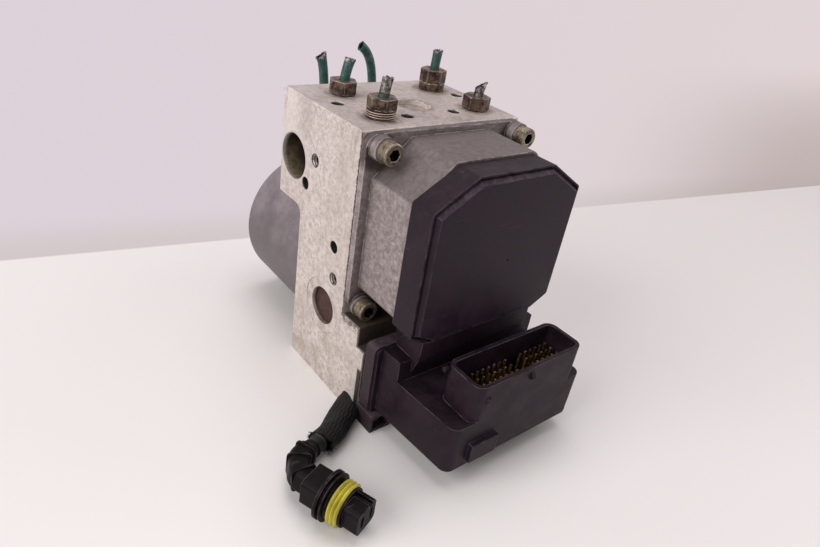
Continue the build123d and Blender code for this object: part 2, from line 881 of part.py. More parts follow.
motor_front_y = motor_face_y
grommet_radius = 4.6
end_plate_thickness = 3.0
magnet_outer = motor_radius - can_wall
magnet_inner = 34.0
magnet_front_y = motor_front_y + 16.0
magnet_back_y = motor_back_y - 12.0
core_radius = 32.6
core_front_y = magnet_front_y + 4.0
core_back_y = magnet_back_y - 4.0
commutator_radius = 12.0
commutator_front_y = motor_front_y + 6.0
commutator_back_y = commutator_front_y + 10.0
bearing_outer = 11.0
bearing_width = 7.0
rear_bearing_y = motor_back_y - can_wall - bearing_width
can_corner = 5.0
seat_wall = 2.0
spigot_length = 5.0
bearing_ring = 2.0
bearing_groove = 1.0
magnet_slot = 16.0

with BuildPart() as motor_can:
    with BuildSketch(facing_front(motor_back_y)):
        with Locations((0, shaft_z)):
            Circle(motor_radius)
    extrude(amount=motor_back_y - motor_front_y)
    fillet(motor_can.faces().sort_by(Axis.Y)[-1].edges(), radius=can_corner)
    with BuildSketch(facing_front(motor_front_y)):
        with Locations((0, shaft_z)):
            Circle(motor_radius - can_wall)
    extrude(amount=-(motor_back_y - motor_front_y - can_wall), mode=Mode.SUBTRACT)
    # Rear bearing seat
    with BuildSketch(facing_front(motor_back_y - can_wall)):
        with Locations((0, shaft_z)):
            Circle(bearing_outer + seat_wall)
            Circle(bearing_outer, mode=Mode.SUBTRACT)
    extrude(amount=bearing_width)
motor_can.part.label = "motor_can"
export_step(motor_can.part, "parts/motor_can.step")

with BuildPart() as motor_end_plate:
    with BuildSketch(facing_front(motor_front_y)):
        with Locations((0, shaft_z)):
            Circle(motor_radius - can_wall)
            Circle(bearing_outer, mode=Mode.SUBTRACT)
    extrude(amount=-end_plate_thickness)
    # Spigot that centres the motor in the cam chamber and holds the bearing
    with BuildSketch(facing_front(motor_front_y)):
        with Locations((0, shaft_z)):
            Circle(chamber_radius)
            Circle(bearing_outer, mode=Mode.SUBTRACT)
    extrude(amount=spigot_length)
    # Outlet of the motor lead
    with Locations(on_back(0, lead_outlet_z, motor_front_y + end_plate_thickness)):
        Hole(radius=grommet_radius, depth=end_plate_thickness)
motor_end_plate.part.label = "motor_end_plate"
export_step(motor_end_plate.part, "parts/motor_end_plate.step")

with BuildPart() as motor_bearings:
    for inner, back_y in (
        (shaft_radius + running_gap, motor_front_y - 4.0 + bearing_width),
        (shaft_radius - 1 + running_gap, rear_bearing_y + bearing_width),
    ):
        with BuildSketch(facing_front(back_y)):
            with Locations((0, shaft_z)):
                Circle(bearing_outer)
                Circle(inner, mode=Mode.SUBTRACT)
        extrude(amount=bearing_width)
        with BuildSketch(facing_front(back_y)):
            with Locations((0, shaft_z)):
                Circle(bearing_outer - bearing_ring)
                Circle(inner + bearing_ring - 0.2, mode=Mode.SUBTRACT)
        extrude(amount=bearing_groove, mode=Mode.SUBTRACT)
motor_bearings.part.label = "motor_bearings"
export_step(motor_bearings.part, "parts/motor_bearings.step")

with BuildPart() as motor_magnets:
    with BuildSketch(facing_front(magnet_back_y)):
        with Locations((0, shaft_z)):
            Circle(magnet_outer)
            Circle(magnet_inner, mode=Mode.SUBTRACT)
            Rectangle(2 * motor_radius, magnet_slot, mode=Mode.SUBTRACT)
            Rectangle(magnet_slot, 2 * motor_radius, mode=Mode.SUBTRACT)
    extrude(amount=magnet_back_y - magnet_front_y)
motor_magnets.part.label = "motor_magnets"
export_step(motor_magnets.part, "parts/motor_magnets.step")

# Slotted core with its windings as one potted armature
slot_count = 12
core_slot = (4.0, 2.4)
segment_slot = (1.6, 0.6)
with BuildPart() as armature:
    with BuildSketch(facing_front(core_back_y)):
        with Locations((0, shaft_z)):
            Circle(core_radius)
            Circle(shaft_radius, mode=Mode.SUBTRACT)
            with PolarLocations(core_radius - 1.0, slot_count):
                Rectangle(*core_slot, mode=Mode.SUBTRACT)
    extrude(amount=core_back_y - core_front_y)
armature.part.label = "armature"
export_step(armature.part, "parts/armature.step")

with BuildPart() as commutator:
    with BuildSketch(facing_front(commutator_back_y)):
        with Locations((0, shaft_z)):
            Circle(commutator_radius)
            Circle(shaft_radius, mode=Mode.SUBTRACT)
            with PolarLocations(commutator_radius, slot_count):
                Rectangle(*segment_slot, mode=Mode.SUBTRACT)
    extrude(amount=commutator_back_y - commutator_front_y)
commutator.part.label = "commutator"
export_step(commutator.part, "parts/commutator.step")

# Shaft with the pump cam turned on its front end
cam_length = 12.0
cam_ring_length = 10.0
shaft_end_gap = 0.5
with BuildPart() as motor_shaft:
    with BuildSketch(facing_front(motor_back_y - can_wall - shaft_end_gap)):
        with Locations((0, shaft_z)):
            Circle(shaft_radius - 1)
    extrude(amount=bearing_width)
    with BuildSketch(facing_front(rear_bearing_y)):
        with Locations((0, shaft_z)):
            Circle(shaft_radius)
    extrude(amount=rear_bearing_y - pump_y - cam_length / 2)
    with BuildSketch(facing_front(pump_y + cam_length / 2)):
        with Locations((0, shaft_z + cam_throw)):
            Circle(cam_radius)
    extrude(amount=cam_length)
motor_shaft.part.label = "motor_shaft"
export_step(motor_shaft.part, "parts/motor_shaft.step")

with BuildPart() as cam_ring:
    with BuildSketch(facing_front(pump_y + cam_ring_length / 2)):
        with Locations((0, shaft_z + cam_throw)):
            Circle(cam_ring_radius)
            Circle(cam_radius, mode=Mode.SUBTRACT)
    extrude(amount=cam_ring_length)
cam_ring.part.label = "cam_ring"
export_step(cam_ring.part, "parts/cam_ring.step")

# Brush carrier plate with two brushes and their springs
brush_y = (commutator_front_y + commutator_back_y) / 2
brush_inner = commutator_radius + 0.3
brush_length = 12.0
brush_size = 6.0
carrier_thickness = 2.0
holder_length = 20.0
holder_height = 10.0
with BuildPart() as brush_carrier:
    with BuildSketch(facing_front(motor_front_y + end_plate_thickness)):
        with Locations((0, shaft_z)):
            Circle(magnet_outer)
            Circle(commutator_radius + seat_wall + 1, mode=Mode.SUBTRACT)
        with Locations((0, lead_outlet_z)):
            Circle(grommet_radius, mode=Mode.SUBTRACT)
    extrude(amount=-carrier_thickness)
    for side in (-1, 1):
        with BuildSketch(facing_front(motor_front_y + end_plate_thickness + carrier_thickness)):
            with Locations((side * (brush_inner + 3 + holder_length / 2), shaft_z)):
                Rectangle(holder_length, holder_height)
        extrude(amount=-holder_height)
        with BuildSketch(facing_front(brush_y + brush_size / 2)):
            with Locations((side * (brush_inner + holder_length / 2), shaft_z)):
                Rectangle(holder_length + 2, brush_size)
        extrude(amount=brush_size, mode=Mode.SUBTRACT)
brush_carrier.part.label = "brush_carrier"
export_step(brush_carrier.part, "parts/brush_carrier.step")

with BuildPart() as motor_brushes:
    with BuildSketch(facing_front(brush_y + brush_size / 2)):
        with Locations(
            (-brush_inner - brush_length / 2, shaft_z),
            (brush_inner + brush_length / 2, shaft_z),
        ):
            Rectangle(brush_length, brush_size)
    extrude(amount=brush_size)
motor_brushes.part.label = "motor_brushes"
export_step(motor_brushes.part, "parts/motor_brushes.step")

brush_spring_length = 8.0
brush_spring_radii = (2.4, 1.6)
with BuildPart() as brush_springs:
    for side in (-1, 1):
        start = brush_inner + brush_length
        with BuildSketch(Plane.YZ.offset(side * start)):
            with Locations((brush_y, shaft_z)):
                Circle(brush_spring_radii[0])
                Circle(brush_spring_radii[1], mode=Mode.SUBTRACT)
        extrude(amount=side * brush_spring_length)
brush_springs.part.label = "brush_springs"
export_step(brush_springs.part, "parts/brush_springs.step")


# ---------------------------------------------------------------------------
# Pump elements, left and right of the cam
# ---------------------------------------------------------------------------

piston_inner_x = cam_throw + cam_ring_radius + piston_gap
piston_length = 12.0
piston_passage_radius = 1.2
piston_passage_length = 8.0
plug_length = 14.0
plug_dish = 1.6
ring_below_face = 0.3
pump_spring_radii = (3.4, 2.4)
sleeve_inner_x = piston_inner_x + 4.0
plug_inner_x = half_width - staking_depth - plug_length
plug_face_x = half_width - pump_recess

for side, piston_name in ((-1, "pump_piston_left"), (1, "pump_piston_right")):
    with BuildPart() as piston:
        with BuildSketch(Plane.YZ.offset(side * piston_inner_x)):
            with Locations((pump_y, shaft_z)):
                Circle(piston_radius)
        extrude(amount=side * piston_length)
        tail_x = side * (piston_inner_x + piston_length)
        with BuildSketch(Plane.YZ.offset(tail_x)):
            with Locations((pump_y, shaft_z)):
                Circle(piston_passage_radius)
        extrude(amount=-side * piston_passage_length, mode=Mode.SUBTRACT)
    piston.part.label = piston_name
    export_step(piston.part, f"parts/{piston_name}.step")

with BuildPart() as pump_sleeves:
    for side in (-1, 1):
        with BuildSketch(Plane.YZ.offset(side * sleeve_inner_x)):
            with Locations((pump_y, shaft_z)):
                Circle(pump_bore_radius)
                Circle(piston_radius + running_gap, mode=Mode.SUBTRACT)
        extrude(amount=side * (plug_inner_x - sleeve_inner_x))
pump_sleeves.part.label = "pump_sleeves"
export_step(pump_sleeves.part, "parts/pump_sleeves.step")

spring_start_x = piston_inner_x + piston_length
with BuildPart() as pump_springs:
    for side in (-1, 1):
        with BuildSketch(Plane.YZ.offset(side * spring_start_x)):
            with Locations((pump_y, shaft_z)):
                Circle(pump_spring_radii[0])
                Circle(pump_spring_radii[1], mode=Mode.SUBTRACT)
        extrude(amount=side * (plug_inner_x - spring_start_x))
pump_springs.part.label = "pump_springs"
export_step(pump_springs.part, "parts/pump_springs.step")

# Closing plugs, staked in by the ring round them
with BuildPart() as pump_plugs:
    for side in (-1, 1):
        with BuildSketch(Plane.YZ.offset(side * plug_inner_x)):
            with Locations((pump_y, shaft_z)):
                Circle(pump_plug_radius)
        extrude(amount=side * (plug_face_x - plug_dish - plug_inner_x))
pump_plugs.part.label = "pump_plugs"
export_step(pump_plugs.part, "parts/pump_plugs.step")

with BuildPart() as plug_rings:
    for side in (-1, 1):
        with BuildSketch(Plane.YZ.offset(side * (half_width - staking_depth))):
            with Locations((pump_y, shaft_z)):
                Circle(pump_ring_radius)
                Circle(pump_plug_radius, mode=Mode.SUBTRACT)
        extrude(amount=side * (staking_depth - ring_below_face))
plug_rings.part.label = "plug_rings"
export_step(plug_rings.part, "parts/plug_rings.step")


# ---------------------------------------------------------------------------
# Low pressure accumulators
# ---------------------------------------------------------------------------

cap_depth = 3.0
cap_base_z = 1.0
accumulator_piston_height = 8.0
accumulator_top = accumulator_depth
seal_ring_width = 2.0
piston_cup_radius = 7.0
piston_cup_depth = 5.0
accumulator_spring_radii = (6.4, 5.0)
cap_dimple_radius = 4.0
cap_dimple_depth = 1.2

for side, piston_name, ring_name in (
    (-1, "accumulator_piston_left", "accumulator_ring_left"),
    (1, "accumulator_piston_right", "accumulator_ring_right"),
):
    x = side * accumulator_x
    with BuildPart() as accumulator_piston:
        with BuildSketch(Plane.XY.offset(accumulator_top)):
            with Locations((x, accumulator_y)):
                Circle(accumulator_radius - thread_gap)
        extrude(amount=-accumulator_piston_height)
        groove_z = accumulator_top - accumulator_piston_height / 2
        with BuildSketch(Plane.XY.offset(groove_z - seal_ring_width / 2)):
            with Locations((x, accumulator_y)):
                Circle(accumulator_radius)
                Circle(accumulator_radius - seal_ring_width, mode=Mode.SUBTRACT)
        extrude(amount=seal_ring_width, mode=Mode.SUBTRACT)
        with BuildSketch(Plane.XY.offset(accumulator_top - accumulator_piston_height)):
            with Locations((x, accumulator_y)):
                Circle(piston_cup_radius)
        extrude(amount=piston_cup_depth, mode=Mode.SUBTRACT)
    accumulator_piston.part.label = piston_name
    export_step(accumulator_piston.part, f"parts/{piston_name}.step")
    with BuildPart() as accumulator_ring:
        with BuildSketch(Plane.XY.offset(groove_z - seal_ring_width / 2)):
            with Locations((x, accumulator_y)):
                Circle(accumulator_radius - thread_gap)
                Circle(accumulator_radius - seal_ring_width, mode=Mode.SUBTRACT)
        extrude(amount=seal_ring_width)
    accumulator_ring.part.label = ring_name
    export_step(accumulator_ring.part, f"parts/{ring_name}.step")

spring_base_z = cap_base_z + cap_depth
spring_top_z = accumulator_top - accumulator_piston_height + piston_cup_depth
with BuildPart() as accumulator_springs:
    with BuildSketch(Plane.XY.offset(spring_base_z)):
        with Locations((-accumulator_x, accumulator_y), (accumulator_x, accumulator_y)):
            Circle(accumulator_spring_radii[0])
            Circle(accumulator_spring_radii[1], mode=Mode.SUBTRACT)
    extrude(amount=spring_top_z - spring_base_z)
accumulator_springs.part.label = "accumulator_springs"
export_step(accumulator_springs.part, "parts/accumulator_springs.step")

with BuildPart() as accumulator_caps:
    with BuildSketch(Plane.XY.offset(cap_base_z)):
        with Locations((-accumulator_x, accumulator_y), (accumulator_x, accumulator_y)):
            Circle(accumulator_radius)
    extrude(amount=cap_depth)
    with BuildSketch(Plane.XY.offset(cap_base_z)):
        with Locations((-accumulator_x, accumulator_y), (accumulator_x, accumulator_y)):
            Circle(cap_dimple_radius)
    extrude(amount=cap_dimple_depth, mode=Mode.SUBTRACT)
accumulator_caps.part.label = "accumulator_caps"
export_step(accumulator_caps.part, "parts/accumulator_caps.step")


# ---------------------------------------------------------------------------
# Sealing balls, line fittings and the cut-off brake pipes
# ---------------------------------------------------------------------------

with BuildPart() as sealing_balls:
    with Locations(*[(x, y, block_height - 1.0 - ball_radius) for x, y in ball_points]):
        Sphere(ball_radius)
sealing_balls.part.label = "sealing_balls"
export_step(sealing_balls.part, "parts/sealing_balls.step")

top_plug_height = 5.6
with BuildPart() as top_plug:
    with BuildSketch(Plane.XY.offset(block_height - top_plug_depth)):
        with Locations(top_plug_point):
            Circle(top_plug_radius)
    extrude(amount=top_plug_height)
top_plug.part.label = "top_plug"
export_step(top_plug.part, "parts/top_plug.step")

# Line nuts: port, hexagon height, how far the collar lifts it, collar radius, turn
nut_settings = [
    (front_left_port, 5.0, 4.2, 6.4, 12),
    (front_right_port, 6.0, 0.6, 4.8, 20),
    (back_left_port, 6.0, 0.6, 4.8, 5),
    (back_right_port, 6.6, 4.0, 6.7, 25),
]
nut_corner = 6.6                 # turned down corners of the hexagon
nut_shank = 10.0
with BuildPart() as line_nuts:
    for (x, y), hex_height, rise, collar, turn in nut_settings:
        with BuildPart(mode=Mode.PRIVATE) as hexagon:
            with BuildSketch(Plane.XY.offset(block_height + rise)):
                with Locations((x, y)):
                    RegularPolygon(nut_flats / 2, 6, major_radius=False, rotation=turn)
            extrude(amount=hex_height)
            with BuildSketch(Plane.XY.offset(block_height + rise)):
                with Locations((x, y)):
                    Circle(nut_corner + hex_height)
            extrude(amount=hex_height, taper=45, mode=Mode.INTERSECT)
        add(hexagon.part)
        with BuildSketch(Plane.XY.offset(block_height)):
            with Locations((x, y)):
                Circle(collar)
        extrude(amount=rise)
        with BuildSketch(Plane.XY.offset(block_height)):
            with Locations((x, y)):
                Circle(port_bore_radius - thread_gap)
        extrude(amount=-nut_shank)
        with BuildSketch(Plane.XY.offset(block_height - nut_shank)):
            with Locations((x, y)):
                Circle(pipe_radius)
        extrude(amount=nut_shank + rise + hex_height, mode=Mode.SUBTRACT)
line_nuts.part.label = "line_nuts"
export_step(line_nuts.part, "parts/line_nuts.step")

# Cut-off pipes: straight out of the nut, then leaning, the end cut askew
pipe_foot_z = block_height - 9.0
pipe_bend_radius = 8.0
pipe_settings = [
    (front_left_port, 152.0, (2.0, 0.0), 159.6, 30),
    (back_left_port, 149.4, (3.0, 0.0), 158.4, 35),
    (back_right_port, 153.6, (0.9, 0.0), 162.4, -25),
]
stub_x, stub_y = front_right_port
stub_round_z = 148.8
stub_flat_z = 152.5
stub_tip_z = 156.2
stub_turn = 40
cutter_size = 16.0
with BuildPart() as cut_pipes:
    for (x, y), bend_z, (lean_x, lean_y), top_z, cut_angle in pipe_settings:
        with BuildLine() as run:
            FilletPolyline(
                (x, y, pipe_foot_z),
                (x, y, bend_z),
                (x + lean_x, y + lean_y, top_z + 2),
                radius=pipe_bend_radius,
            )
        with BuildSketch(Plane.XY.offset(pipe_foot_z)):
            with Locations((x, y)):
                Circle(pipe_radius)
                Circle(pipe_radius - pipe_wall, mode=Mode.SUBTRACT)
        sweep(path=run.line)
        askew = Plane(origin=(x + lean_x, y, top_z)).rotated((0, cut_angle, 0))
        with BuildSketch(askew):
            Rectangle(cutter_size, cutter_size)
        extrude(amount=cutter_size / 2, mode=Mode.SUBTRACT)
    # The fourth pipe is crushed to a point
    with BuildSketch(Plane.XY.offset(pipe_foot_z)):
        with Locations((stub_x, stub_y)):
            Circle(pipe_radius)
    extrude(amount=stub_round_z - pipe_foot_z)
    with BuildSketch(Plane.XY.offset(stub_round_z)):
        with Locations((stub_x, stub_y)):
            Circle(pipe_radius)
    with BuildSketch(Plane.XY.offset(stub_flat_z)):
        with Locations((stub_x + 1.5, stub_y + 0.3)):
            Ellipse(1.9, 1.1, rotation=stub_turn)
    with BuildSketch(Plane.XY.offset(stub_tip_z)):
        with Locations((stub_x + 2.6, stub_y + 0.4)):
            Ellipse(0.7, 0.35, rotation=stub_turn)
    loft()
cut_pipes.part.label = "cut_pipes"
export_step(cut_pipes.part, "parts/cut_pipes.step")

# Two more pipes leave the back of the overhang and rise behind it
back_hex_height = 5.5
back_shank = 10.0
with BuildPart() as back_fittings:
    for x, z in back_port_points:
        with BuildSketch(facing_front(back_face_y)):
            with Locations((x, z)):
                RegularPolygon(nut_flats / 2, 6, major_radius=False, rotation=14)
        extrude(amount=-back_hex_height)
        with BuildSketch(facing_front(back_face_y)):
            with Locations((x, z)):
                Circle(port_bore_radius - thread_gap)
        extrude(amount=back_shank)
        with BuildSketch(facing_front(back_face_y - back_shank)):
            with Locations((x, z)):
                Circle(pipe_radius)
        extrude(amount=-back_shank - back_hex_height, mode=Mode.SUBTRACT)
back_fittings.part.label = "back_fittings"
export_step(back_fittings.part, "parts/back_fittings.step")

rise_y = back_face_y + 13.6
pipe_start_y = back_face_y - 9.0
back_pipe_runs = [
    [
        (-15.5, rise_y, 118.0),
        (-16.4, rise_y, 136.0),
        (-20.0, rise_y, 151.6),
    ],
    [
        (15.0, rise_y, 118.0),
        (14.6, rise_y, 136.0),
        (11.0, rise_y, 148.0),
        (3.8, rise_y, 156.6),
    ],
]
with BuildPart() as back_pipes:
    for rising in back_pipe_runs:
        start_x, _, start_z = rising[0]
        with BuildLine() as run:
            FilletPolyline((start_x, pipe_start_y, start_z), *rising, radius=pipe_bend_radius)
        with BuildSketch(facing_front(pipe_start_y)):
            with Locations((start_x, start_z)):
                Circle(pipe_radius)
                Circle(pipe_radius - pipe_wall, mode=Mode.SUBTRACT)
        sweep(path=run.line)
back_pipes.part.label = "back_pipes"
export_step(back_pipes.part, "parts/back_pipes.step")


# ---------------------------------------------------------------------------
# Motor lead with its plug, unplugged and lying beside the unit
# ---------------------------------------------------------------------------

grommet_front_y = motor_front_y - 4.0
grommet_flange = 0.8
with BuildPart() as lead_grommet:
    with BuildSketch(facing_front(motor_front_y + end_plate_thickness + 2)):
        with Locations((0, lead_outlet_z)):
            Circle(grommet_radius)
    extrude(amount=end_plate_thickness + 2)
    with BuildSketch(facing_front(motor_front_y)):
        with Locations((0, lead_outlet_z)):
            Circle(grommet_radius + grommet_flange)
    extrude(amount=motor_front_y - grommet_front_y)
lead_grommet.part.label = "lead_grommet"
export_step(lead_grommet.part, "parts/lead_grommet.step")

# Route points: X, Y in front of (-) or behind (+) the valve face, Z
lead_steps = [
    (0.0, grommet_front_y - valve_face_y, lead_outlet_z),
    (0.0, 25.7, lead_outlet_z),
    (0.0, 4.6, 5.6),
    (-14.4, -9.9, 5.5),
    (-48.5, -10.3, 5.4),
    (-62.0, -19.8, 5.4),
    (-74.0, -31.4, 6.0),
    (-82.5, -34.9, 7.5),
]
elbow_steps = [
    (-82.5, -34.9, 7.5),
    (-89.2, -37.7, 9.0),
    (-94.0, -47.6, 11.5),
    (-91.9, -52.9, 11.5),
]
lead_route = [(x, valve_face_y + y, z) for x, y, z in lead_steps]
elbow_route = [(x, valve_face_y + y, z) for x, y, z in elbow_steps]
sleeve_corners = 5               # the sleeve follows this many corners of the lead
sleeve_last_run = 13.5


def corner_radii(route):
    """Largest arc at each corner that both of its runs allow."""
    radii = []
    for before, corner, after in zip(route, route[1:], route[2:]):
        first = Vector(*corner) - Vector(*before)
        second = Vector(*after) - Vector(*corner)
        turn = math.radians(first.get_angle(second))
        shorter = min(first.length, second.length)
        radii.append(0.45 * shorter / math.tan(turn / 2))
    return radii


def section_plane(route):
    """Plane across the first run of a route."""
    start = Vector(*route[0])
    return Plane(origin=start, z_dir=Vector(*route[1]) - start)


lead_radii = corner_radii(lead_route)
print("lead radii", [round(radius, 1) for radius in lead_radii])

with BuildPart() as motor_lead:
    with BuildLine() as run:
        FilletPolyline(*lead_route, radius=lead_radii)
    with BuildSketch(section_plane(lead_route)):
        Circle(lead_radius)
    sweep(path=run.line)
motor_lead.part.label = "motor_lead"
export_step(motor_lead.part, "parts/motor_lead.step")
lead_length = run.wire().length
print("lead length", round(lead_length, 1))
print("lead volume ratio", motor_lead.part.volume / (math.pi * lead_radius**2 * lead_length))

# Braided sleeve over the lead, up to where its last bend starts
last_corner = Vector(*lead_route[sleeve_corners])
last_step = (Vector(*lead_route[sleeve_corners + 1]) - last_corner).normalized()
sleeve_end = last_corner + last_step * sleeve_last_run
sleeve_route = lead_route[:sleeve_corners + 1] + [tuple(sleeve_end)]
with BuildPart() as lead_sleeve:
    with BuildLine() as run:
        FilletPolyline(*sleeve_route, radius=lead_radii[:sleeve_corners])
    with BuildSketch(section_plane(sleeve_route)):
        Circle(sleeve_radius)
        Circle(lead_radius + 0.1, mode=Mode.SUBTRACT)
    sweep(path=run.line)
lead_sleeve.part.label = "lead_sleeve"
export_step(lead_sleeve.part, "parts/lead_sleeve.step")

# Elbow cover that turns the lead into the plug
elbow_width = 9.8
elbow_corner = 2.6
with BuildPart() as plug_elbow:
    with BuildLine() as run:
        FilletPolyline(*elbow_route, radius=corner_radii(elbow_route))
    with BuildSketch(section_plane(elbow_route)):
        RectangleRounded(elbow_width, elbow_width, elbow_corner)
    sweep(path=run.line)
plug_elbow.part.label = "plug_elbow"
export_step(plug_elbow.part, "parts/plug_elbow.step")

plug_axis = Vector(*elbow_route[-1]) - Vector(*elbow_route[-2])
plug_axis = Vector(plug_axis.X, plug_axis.Y, 0)
plug_plane = Plane(origin=elbow_route[-1], x_dir=(0, 0, 1), z_dir=plug_axis)
flange_station = 9.0
seal_station = 13.4
seal_length = 6.3
tip_station = 20.8
tip_length = 7.8
flange_radius = 10.9
core_radius_front = 8.7
seal_bore = 7.8
seal_radius = 9.1
ridge_radius = 9.8

with BuildPart() as plug_body:
    with BuildSketch(plug_plane):
        RectangleRounded(13.2, 14, 2.2)
    extrude(amount=flange_station)
    with BuildSketch(plug_plane.offset(flange_station)):
        Circle(flange_radius)
    extrude(amount=1.4)
    with BuildSketch(plug_plane.offset(flange_station + 1.4)):
        Circle(core_radius_front)
    extrude(amount=tip_station - flange_station - 1.4)
    with BuildSketch(plug_plane.offset(seal_station)):
        Circle(core_radius_front + 1)
        Circle(seal_bore, mode=Mode.SUBTRACT)
    extrude(amount=seal_length, mode=Mode.SUBTRACT)
    with BuildSketch(plug_plane.offset(tip_station)):
        RectangleRounded(12.0, 12.8, 2.2)
        with Locations((5.2, -2.6)):
            Rectangle(3.0, 2.6, mode=Mode.SUBTRACT)
    extrude(amount=tip_length)
    with BuildSketch(plug_plane.offset(tip_station + tip_length)):
        with Locations((0, -3.2), (0, 3.2)):
            Rectangle(6.4, 2.0)
    extrude(amount=-6, mode=Mode.SUBTRACT)
plug_body.part.label = "plug_body"
export_step(plug_body.part, "parts/plug_body.step")

ridge_pitch = seal_length / 3
with BuildPart() as plug_seal:
    with BuildSketch(plug_plane.offset(seal_station)):
        Circle(seal_radius)
        Circle(seal_bore, mode=Mode.SUBTRACT)
    extrude(amount=seal_length)
    for ridge in range(3):
        start = seal_station + ridge_pitch * (ridge + 0.5) - 0.6
        with BuildSketch(plug_plane.offset(start)):
            Circle(ridge_radius)
            Circle(seal_radius - 0.6, mode=Mode.SUBTRACT)
        extrude(amount=1.2)
plug_seal.part.label = "plug_seal"
export_step(plug_seal.part, "parts/plug_seal.step")

with BuildPart() as plug_terminals:
    with BuildSketch(plug_plane.offset(tip_station + tip_length - 6)):
        with Locations((0, -3.2), (0, 3.2)):
            Rectangle(5.2, 1.0)
    extrude(amount=5.0)
plug_terminals.part.label = "plug_terminals"
export_step(plug_terminals.part, "parts/plug_terminals.step")
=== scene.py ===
# %% [markdown]
# # A hydraulic unit of an anti-lock brake, dressed in Blender
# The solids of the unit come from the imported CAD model. Here they get a camera, a studio,
# finishes worked out with shader nodes, and the pieces that need finer surfaces than CAD gives.
# Every length is in metres, and X runs across the unit, Y towards the pump motor, Z up.

# %% Load the frame
import json
import math

import bmesh
import bpy
import numpy as np
from mathutils import Matrix, Vector


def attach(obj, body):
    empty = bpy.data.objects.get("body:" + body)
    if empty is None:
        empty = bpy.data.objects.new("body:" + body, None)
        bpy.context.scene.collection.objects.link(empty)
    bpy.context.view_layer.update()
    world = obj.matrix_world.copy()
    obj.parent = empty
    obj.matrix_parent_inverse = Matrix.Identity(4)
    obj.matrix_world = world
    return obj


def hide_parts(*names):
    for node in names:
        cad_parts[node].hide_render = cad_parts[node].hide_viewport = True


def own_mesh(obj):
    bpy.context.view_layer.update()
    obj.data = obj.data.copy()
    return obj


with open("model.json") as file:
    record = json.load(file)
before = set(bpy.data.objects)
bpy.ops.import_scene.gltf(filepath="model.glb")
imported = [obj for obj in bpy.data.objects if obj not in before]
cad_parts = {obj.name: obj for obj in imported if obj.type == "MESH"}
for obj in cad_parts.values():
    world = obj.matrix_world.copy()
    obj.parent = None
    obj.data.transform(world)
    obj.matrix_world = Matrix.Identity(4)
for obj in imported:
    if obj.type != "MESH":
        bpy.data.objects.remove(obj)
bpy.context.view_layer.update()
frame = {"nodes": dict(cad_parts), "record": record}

nodes = frame["nodes"]
unit = "hydraulic_unit"
mm = 0.001


def place_in_scene(name, data):
    """A new object that holds this data, linked into the scene."""
    made = bpy.data.objects.new(name, data)
    bpy.context.scene.collection.objects.link(made)
    return made


print("nodes loaded:", len(nodes))

# %% [markdown]
# ## Camera
# The unit stands on a table and is seen from its left front, from above, with a short lens held a
# little askew. The three columns below are the camera's right, up and back directions.

# %% Camera
camera_place = (-0.19441, -0.21819, 0.22386)
camera_right = (0.78102, -0.60655, 0.14865)
camera_up = (0.21078, 0.48010, 0.85151)
camera_back = (-0.58785, -0.63372, 0.50282)
camera_data = bpy.data.cameras.new("camera")
camera_data.lens = 27.355
camera_data.sensor_width = 36.0
camera_data.clip_start = 0.01
camera = place_in_scene("camera", camera_data)
camera_turn = Matrix([camera_right, camera_up, camera_back]).transposed()
camera.matrix_world = Matrix.Translation(camera_place) @ camera_turn.to_4x4()
bpy.context.scene.camera = camera
print("camera stands at", tuple(round(v, 3) for v in camera.location))

# %% [markdown]
# ## Helpers for meshes
# A surface here is a grid of points. One direction of the grid runs round a section and the other
# along a path, and neighbours are joined by four-sided faces.


# %% Directions and lengths
def full_turn(count):
    """Even angles round a circle, in radians, without the last one that meets the first."""
    return np.linspace(0, 2 * np.pi, count, endpoint=False)


def unit_vectors(vectors):
    """The same directions, each one long."""
    return vectors / np.linalg.norm(vectors, axis=-1, keepdims=True)


def square_to(axis):
    """Two directions square to an axis and to each other: a level one, then an upright one."""
    level = unit_vectors(np.cross(axis, (0.0, 0.0, 1.0)))
    return level, np.cross(level, axis)


def length_along(points):
    """The length of a line from its start to each of its points."""
    steps = np.linalg.norm(np.diff(points, axis=0), axis=1)
    return np.concatenate([[0.0], np.cumsum(steps)])


def at_lengths(wanted, length, values):
    """Values of X, Y and Z read off at other lengths along a line."""
    return np.stack([np.interp(wanted, length, values[:, axis]) for axis in range(3)], axis=-1)


# %% Meshes from grids of points
smooth_up_to = math.radians(35)


def add_object(name, data, body=unit):
    """Puts a mesh or curve into the scene under this name, riding on a body."""
    made = place_in_scene(name, data)
    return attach(made, body)


def vertex_places(mesh):
    """The places of all vertices of a mesh, one to a row."""
    places = np.empty(len(mesh.vertices) * 3)
    mesh.vertices.foreach_get("co", places)
    return places.reshape(-1, 3)


def grid_mesh(name, points, wrap_rows=False, smooth=True):
    """Joins a rows x columns x 3 array of points: columns go round, rows go along.

    With wrap_rows the last row joins the first, otherwise a face closes each end.
    """
    rows, columns = points.shape[:2]
    row, column = np.meshgrid(
        np.arange(rows if wrap_rows else rows - 1), np.arange(columns), indexing="ij"
    )
    next_row = (row + 1) % rows
    next_column = (column + 1) % columns
    faces = np.stack(
        [
            row * columns + column,
            row * columns + next_column,
            next_row * columns + next_column,
            next_row * columns + column,
        ],
        axis=-1,
    ).reshape(-1, 4).tolist()
    if not wrap_rows:
        faces.append(list(range(columns)))
        faces.append(list(range((rows - 1) * columns, rows * columns)))
    mesh = bpy.data.meshes.new(name)
    mesh.from_pydata(points.reshape(-1, 3).tolist(), [], faces)
    face_outwards(mesh)
    if smooth:
        mesh.shade_smooth()
        mesh.set_sharp_from_angle(angle=smooth_up_to)
    return mesh


same_place = 1e-6


